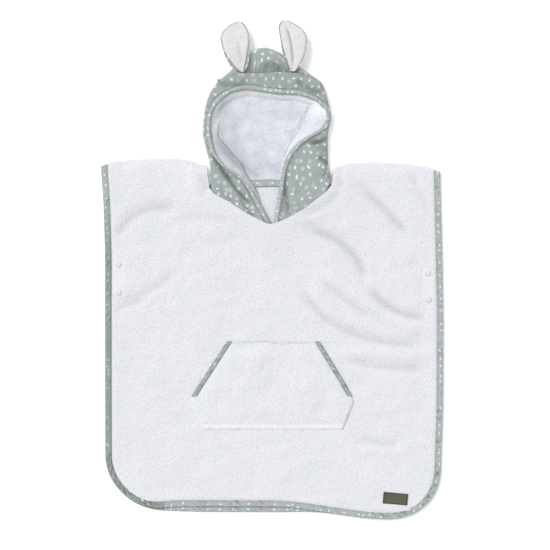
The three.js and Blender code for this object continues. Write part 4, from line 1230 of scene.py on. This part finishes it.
def liningInside():
    keys = np.stack([liningBorder[name] for name in ("t", "x", "y", "roll")], -1)
    fine = through(keys, np.linspace(0, len(keys) - 1, 300))
    t, border, roll = fine[:, 0], fine[:, 1:3], np.clip(fine[:, 3], 0, 1)
    edge = between(t, times, spots[bandIndex[:, 0]])
    away = border - edge[:, :2]
    reach = np.linalg.norm(away, axis=1)
    way = away / reach[:, None]
    s = np.linspace(0, 1, liningRoll["columns"])[None, :]
    under, fold = liningRoll["under"], liningRoll["fold"]
    total = under + reach[:, None] + fold
    gone = s * total - under
    share = np.clip(gone / reach[:, None], 0, 1)
    past = np.clip((gone - reach[:, None]) / fold, 0, 1)
    high = edge[:, 2:] - liningRoll["drop"]
    low = lerp(liningRoll["level"], liningRoll["merged"], smooth(t, 5.8, 7.5) - smooth(t, 15, 16.5))
    low = low[:, None]
    slope = lerp(high, low, smooth(share, 0.02, 1.05)) + 0.9 * np.sin(math.pi * share) * (high > low + 2)
    ridge = high + 1.2 * smooth(share, 0.25, 0.9) + 0.5 * np.sin(math.pi * share)
    drop = lerp(high + 1.4, low, smooth(past, 0, 1))
    stand = np.where(share < 1, ridge, drop)
    z = lerp(slope, stand, roll[:, None])
    place = edge[:, None, :2] + way[:, None] * (gone - past * fold * 0.55 * roll[:, None])[..., None]
    z = z + 0.25 * ripple(place[..., 0], place[..., 1], 21, 81) * np.sin(math.pi * share)
    top = np.concatenate([place, z[..., None]], -1)
    inner = top - [0, 0, liningRoll["thick"]]
    flat = np.concatenate([place + [4200, 0], 0 * place[..., :1]], -1)
    onLeft = roll[:, None]
    onSeam = smooth(t, 15.5, 16.5)[:, None]
    # painted shade over the roll and in a dark line along its ridge and the seam; a painted highlight along
    # the top under the binding and beside the seam
    line = (0.25 * onLeft + 0.45 * onSeam) * smooth(share, 0.96, 1) * (1 - past)
    dark = onLeft * (0.2 + 0.42 * smooth(share, 0.1, 0.8)) + line
    topSide = smooth(border[:, 1], 255, 285)[:, None] * (1 - onLeft)
    dark = dark - topSide * 0.75 * fade(share, 0.35, 1) - 0.35 * onSeam * (1 - share)
    return wall("hoodLiningInside", top, inner, flat, finishes["hood_lining"], 50, np.clip(dark, -1, 1))


liningPiece = liningInside()


def faceBinding():
    held = hood["liningDepth"] + body["pressed"] + 0.8
    outD, outZ, inD, inZ = stripProfile(hood["faceWidth"], held, 0.35)
    bend, edge, end = (bandIndex[:, i] for i in range(3))
    gone = wayAlong(spots[edge])
    waves = ripple(gone, 0 * gone, 12, 51, 5) * 0.22

    def face(d, z):
        depth = held + body["gap"] + body["strip"] - z
        rows = []
        for distance, deep in zip(d, depth):
            if distance < body["edgeInset"]:
                start = lerp(spots[bend], spots[edge], distance / body["edgeInset"])
                rows.append(start + outwards[edge] * (lifted[edge] - deep)[:, None])
            else:
                share = (distance - body["edgeInset"]) / (bindingReach - body["edgeInset"])
                rows.append(lerp(layer(edge, deep + 0 * gone), layer(end, deep + 0 * gone), share))
            if deep < 0:
                rows[-1] = rows[-1] + outwards[edge] * waves[:, None]
        return np.stack(rows, 1)

    # painted shade along the strip's folded edge and its inner edge
    border = 0.2 * fade(outD, 0.2, 2) + 0.35 * smooth(outD, 6.8, 7.8)
    strip = clothPiece("faceBindingStrip", face(outD, outZ), face(inD, inZ),
                       stripCloth(gone, outD, outZ, 2.7), "sage_bias_strip", "face_binding", 60, border)
    seam = lerp(layer(edge, -1.15 + 0 * gone), layer(end, -1.15 + 0 * gone), 0.62)
    return strip, stripStitches("faceBindingStitches", seam, outwards[edge])


faceStrip, faceStitches = faceBinding()


tape = {"right": -76, "left": 60, "foot": 146.5, "top": 158, "level": 4.1}


def neckTape():
    x, y = np.meshgrid(np.linspace(tape["right"], tape["left"], 60),
                       np.linspace(tape["foot"], tape["top"], 8))
    up = y - tape["foot"]
    crown = 0.35 * np.sin(math.pi * up / (tape["top"] - tape["foot"])) + 0.1 * ripple(x, y, 15, 61)
    wavy = y + 0.4 * ripple(x, 0 * x, 60, 63)
    top = stacked(x, wavy, tape["level"] + body["strip"] + crown)
    low = stacked(x, y, tape["level"] + 0 * x)
    # painted shade along the tape's top and foot
    dark = 0.5 * fade(tape["top"] - y, 0, 2.4) + 0.25 * fade(up, 0, 1.6)
    return clothPiece("neckTapeStrip", top, low, stacked(x, y + 20), "sage_bias_strip",
                      "neck_tape", 50, dark)


neckStrip = neckTape()

ear = {"dish": 2.4, "rows": 64, "columns": 30, "puff": 2.6, "rim": 1.5}
# outlines of the cotton and of the terry on it, by height
earColumns = "y left right z coverLeft coverRight"
earTables = {
    "right": table(earColumns, [
        [345.5, -55.5, -49, 13.4, -53.8, -50.6], [353.5, -70.4, -43.8, 13.8, -63, -48.5],
        [362.3, -76, -40.8, 14.2, -70, -46.6], [375, -82.5, -39.4, 14, -79.5, -44],
        [390, -87, -39.2, 12.8, -85.3, -42], [402.5, -90, -39.2, 11.4, -88.4, -40.8],
        [411, -88.4, -40.2, 10.2, -86.8, -41.9], [419, -83.7, -42.5, 9, -82, -44.3],
        [427, -74.5, -46.6, 7.8, -72.6, -48.6], [432.5, -65, -51, 7, -63.4, -52.8],
        [434.5, -59, -54, 6.6, -58, -55],
    ]),
    "left": table(earColumns, [
        [347, 31, 40.5, 13.4, 32.5, 39.5], [353, 28.5, 46, 13.7, 30.5, 44.6],
        [360, 25.7, 50.5, 14.1, 28.3, 49], [375, 20, 56.9, 14, 23.5, 55.4],
        [390, 16.4, 59.8, 12.8, 18.8, 58.3], [402, 14.9, 61.3, 11.5, 16.4, 59.8],
        [411, 13.3, 59.3, 10.4, 14.9, 57.7], [418, 12.3, 55, 9.2, 13.9, 53.2],
        [426, 11.8, 46.4, 8, 13.6, 44.2], [433, 15.6, 34, 7.2, 17.6, 32],
        [436.3, 20.5, 26.5, 6.8, 21.5, 25.5],
    ]),
}
earFolds = foldLines(table(foldColumns, [
    [24, 426, 33, 396, 37, 352, -3.4, 2.4],
    [-60, 400, -56, 378, -52, 356, -1.2, 4],
]))


def earPieces(side):
    rows = earTables[side]
    names = earColumns.split()
    whole = np.stack([rows[name] for name in names], -1)
    fine = through(whole, np.linspace(0, len(whole) - 1, ear["rows"]))
    line = {name: fine[:, i:i + 1] for i, name in enumerate(names)}
    u = np.linspace(0, 1, ear["columns"])[None, :]
    shift = {"right": 500, "left": 650}[side]

    def sheet(start, end):
        x = lerp(line[start], line[end], u)
        y = line["y"] + 0 * x
        across = (x - line["left"]) / (line["right"] - line["left"])
        return x, y, line["z"] + ear["dish"] * (2 * across - 1) ** 2

    x, y, base = sheet("left", "right")
    rim = ear["rim"] * np.clip(np.abs(2 * u - 1) - 0.8, 0, 1) / 0.2
    cotton = clothPiece(f"ear{side.title()}Cotton", stacked(x, y, base + 1 + rim),
                        stacked(x, y, base + rim * 0.6), stacked(x + shift, y),
                        "sage_print_cotton", f"ear_{side}_outer")
    x, y, base = sheet("coverLeft", "coverRight")
    low = base + 1.65
    height = np.linspace(0, 1, ear["rows"])[:, None]
    crown = ear["puff"] * (1 - (2 * u - 1) ** 4) * np.sin(math.pi * np.clip(height, 0.02, 0.98)) ** 0.4
    slack = 0.3 * ripple(x, y, 18, 71) + folded(earFolds, x, y)
    top = low + 1.0 + 0.25 * crown + np.maximum(0, crown * 0.6 + slack * (1 - (2 * u - 1) ** 4))
    # painted shade in the ear's folds and along its sides
    shade = 0.24 * creases(earFolds, x, y) + 0.35 * fade(np.minimum(u, 1 - u), 0, 0.06)
    terry = wall(f"ear{side.title()}Terry", stacked(x, y, top), stacked(x, y, low),
                 stacked(x + shift, y + 300), finishes["ear_terry"], 50, shade)
    return cotton, dressed(terry, f"ear_{side}_inner")


earRightCotton, earRightTerry = earPieces("right")
earLeftCotton, earLeftTerry = earPieces("left")
print("stage: ears")


def turnedPiece(name, profile, place, slot, node, around=40):
    profile = np.array(profile, float)
    turn = np.linspace(0, 2 * math.pi, around, endpoint=False)
    rings = np.stack([
        profile[1:-1, :1] * np.cos(turn), profile[1:-1, :1] * np.sin(turn),
        profile[1:-1, 1:] + 0 * turn], -1)
    points = np.concatenate([[[0, 0, profile[0, 1]], [0, 0, profile[-1, 1]]], rings.reshape(-1, 3)])
    faces = []
    count = len(rings)

    def at(i, k):
        return 2 + i * around + k % around

    for k in range(around):
        faces.append([0, at(0, k + 1), at(0, k)])
        faces.append([1, at(count - 1, k), at(count - 1, k + 1)])
        faces += [[at(i, k), at(i, k + 1), at(i + 1, k + 1), at(i + 1, k)] for i in range(count - 1)]
    piece = shape(name, points + place, faces, points, finishes[slot], 55)
    return dressed(piece, node)


snap = {
    "cap": [[0, 0], [5.1, 0], [5.3, 0.45], [5.05, 0.95], [4.4, 1.35], [3.9, 1.42], [3.4, 1.3],
            [3.0, 1.2], [1.6, 1.3], [0, 1.36]],
    "stud": [[0, 0], [5.0, 0], [5.3, 0.25], [5.3, 0.8], [0, 0.8]],
}
snapPlaces = {
    "right_upper": (-269.3, 10.5), "right_lower": (-269.3, -38.7),
    "left_upper": (272.7, -4.6), "left_lower": (274.6, -50.8),
}
for name, (x, y) in snapPlaces.items():
    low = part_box(f"snap_{name}_front")[0].z / mm
    for part, profile, z, side in (("cap", snap["cap"], low, "front"), ("stud", snap["stud"], 0, "back")):
        turnedPiece(f"snap_{name}_{part}", profile, np.array([x, y, z]), "off_white_plastic",
                    f"snap_{name}_{side}")

for name, (x0, y0, x1, y1) in patches.items():
    ring = np.array([[x0, y0], [x1, y0], [x1, y1], [x0, y1], [x0, y0]], float)
    path = partWay(np.concatenate([ring, 0 * ring[:, :1]], 1), np.linspace(0, 1, 90))
    path[:, 2] = frontTop(path[:, 0], path[:, 1]) + 0.05
    stitches(f"snapPatch_{name}_stitches", path, (0, 0, 1), whiteThread, 2.4, 0.9, 0.5)

labelSize = {"x": 216, "y": -400.3, "wide": 43, "deep": 20, "thick": 0.5, "turn": -0.085, "lift": 0.45}


def labelPiece():
    u, v = np.meshgrid(np.linspace(-0.5, 0.5, 40) * labelSize["wide"],
                       np.linspace(-0.5, 0.5, 20) * labelSize["deep"])
    c, s = math.cos(labelSize["turn"]), math.sin(labelSize["turn"])
    x, y = labelSize["x"] + u * c - v * s, labelSize["y"] + u * s + v * c
    low = onFront(x, y) + labelSize["lift"]
    ends = 0.35 * smooth(np.abs(u), 17.5, 18.5)
    curl = 0.5 * smooth(np.abs(u), 14, 21.5) * smooth(v, -2, 10)
    top = stacked(x, y, low + labelSize["thick"] + ends + curl)
    return clothPiece("hemLabel", top, stacked(x, y, low + curl), stacked(u, v),
                      "dark_woven_label", "label")


hemLabel = labelPiece()
print("stage: snaps and label")


def pocketSeam(name, xs, ys, wide=0.5, thread=whiteThread):
    x, y = np.array(xs, float), np.array(ys, float)
    path = partWay(stacked(x, y, 0 * x), np.linspace(0, 1, 120))
    path[:, 2] = pocketLevel(path[:, 0], path[:, 1]) + body["terry"] - 0.1
    return stitches(name, path, (0, 0, 1), thread, 3.2, 0.3, wide)


# the hem's stitches use the thread with the painted highlight
pocketStitches = [
    pocketSeam("pocketHemStitches", [-119, 118], [-271.6, -272.8], 0.7, paintedHighlightThread),
    pocketSeam("pocketTopStitches", [-68, 73], [-130, -130]),
]
print("stage: seams")
room = {
    "floor": sRgb(250, 250, 250),
    "floorReach": 4,
    "floorDrop": 0.0004,  # keeps it clear of the garment's underside
    "key": 1.9, "keyFrom": (-1.0, 0.95, 1.45), "keyWidth": 26,  # degrees
    "fill": 0.62,
    "lens": 100, "cameraAt": (5.25 * mm, -8.75 * mm, 2.682),
}


def makeFloor():
    mesh = bpy.data.meshes.new("floor")
    far = room["floorReach"]
    mesh.from_pydata([(-far, -far, 0), (far, -far, 0), (far, far, 0), (-far, far, 0)], [], [(0, 1, 2, 3)])
    mesh.materials.append(Finish("paleFloor").close(room["floor"], 0.9, None, {
        "Emission Color": (1, 1, 1, 1), "Emission Strength": 0.22, "Specular IOR Level": 0}))
    floorPiece = addObject("floor", mesh)
    floorPiece.location.z = -room["floorDrop"]


def makeLight():
    key = addObject("keyLight", bpy.data.lights.new("keyLight", "SUN"))
    key.data.energy = room["key"]
    key.data.angle = math.radians(room["keyWidth"])
    key.location = room["keyFrom"]
    key.rotation_euler = (-key.location).to_track_quat("-Z", "Y").to_euler()
    world = bpy.data.worlds.new("softRoom")
    world.use_nodes = True
    fill = world.node_tree.nodes["Background"].inputs
    fill["Color"].default_value = (1, 1, 1, 1)
    fill["Strength"].default_value = room["fill"]
    bpy.context.scene.world = world


def makeCamera():
    camera = addObject("camera", bpy.data.cameras.new("camera"))
    camera.data.lens = room["lens"]
    camera.data.sensor_width = 36
    camera.location = room["cameraAt"]
    bpy.context.scene.camera = camera
    bpy.context.scene.view_settings.view_transform = "Standard"


makeFloor()
makeLight()
makeCamera()
print("stage: room")
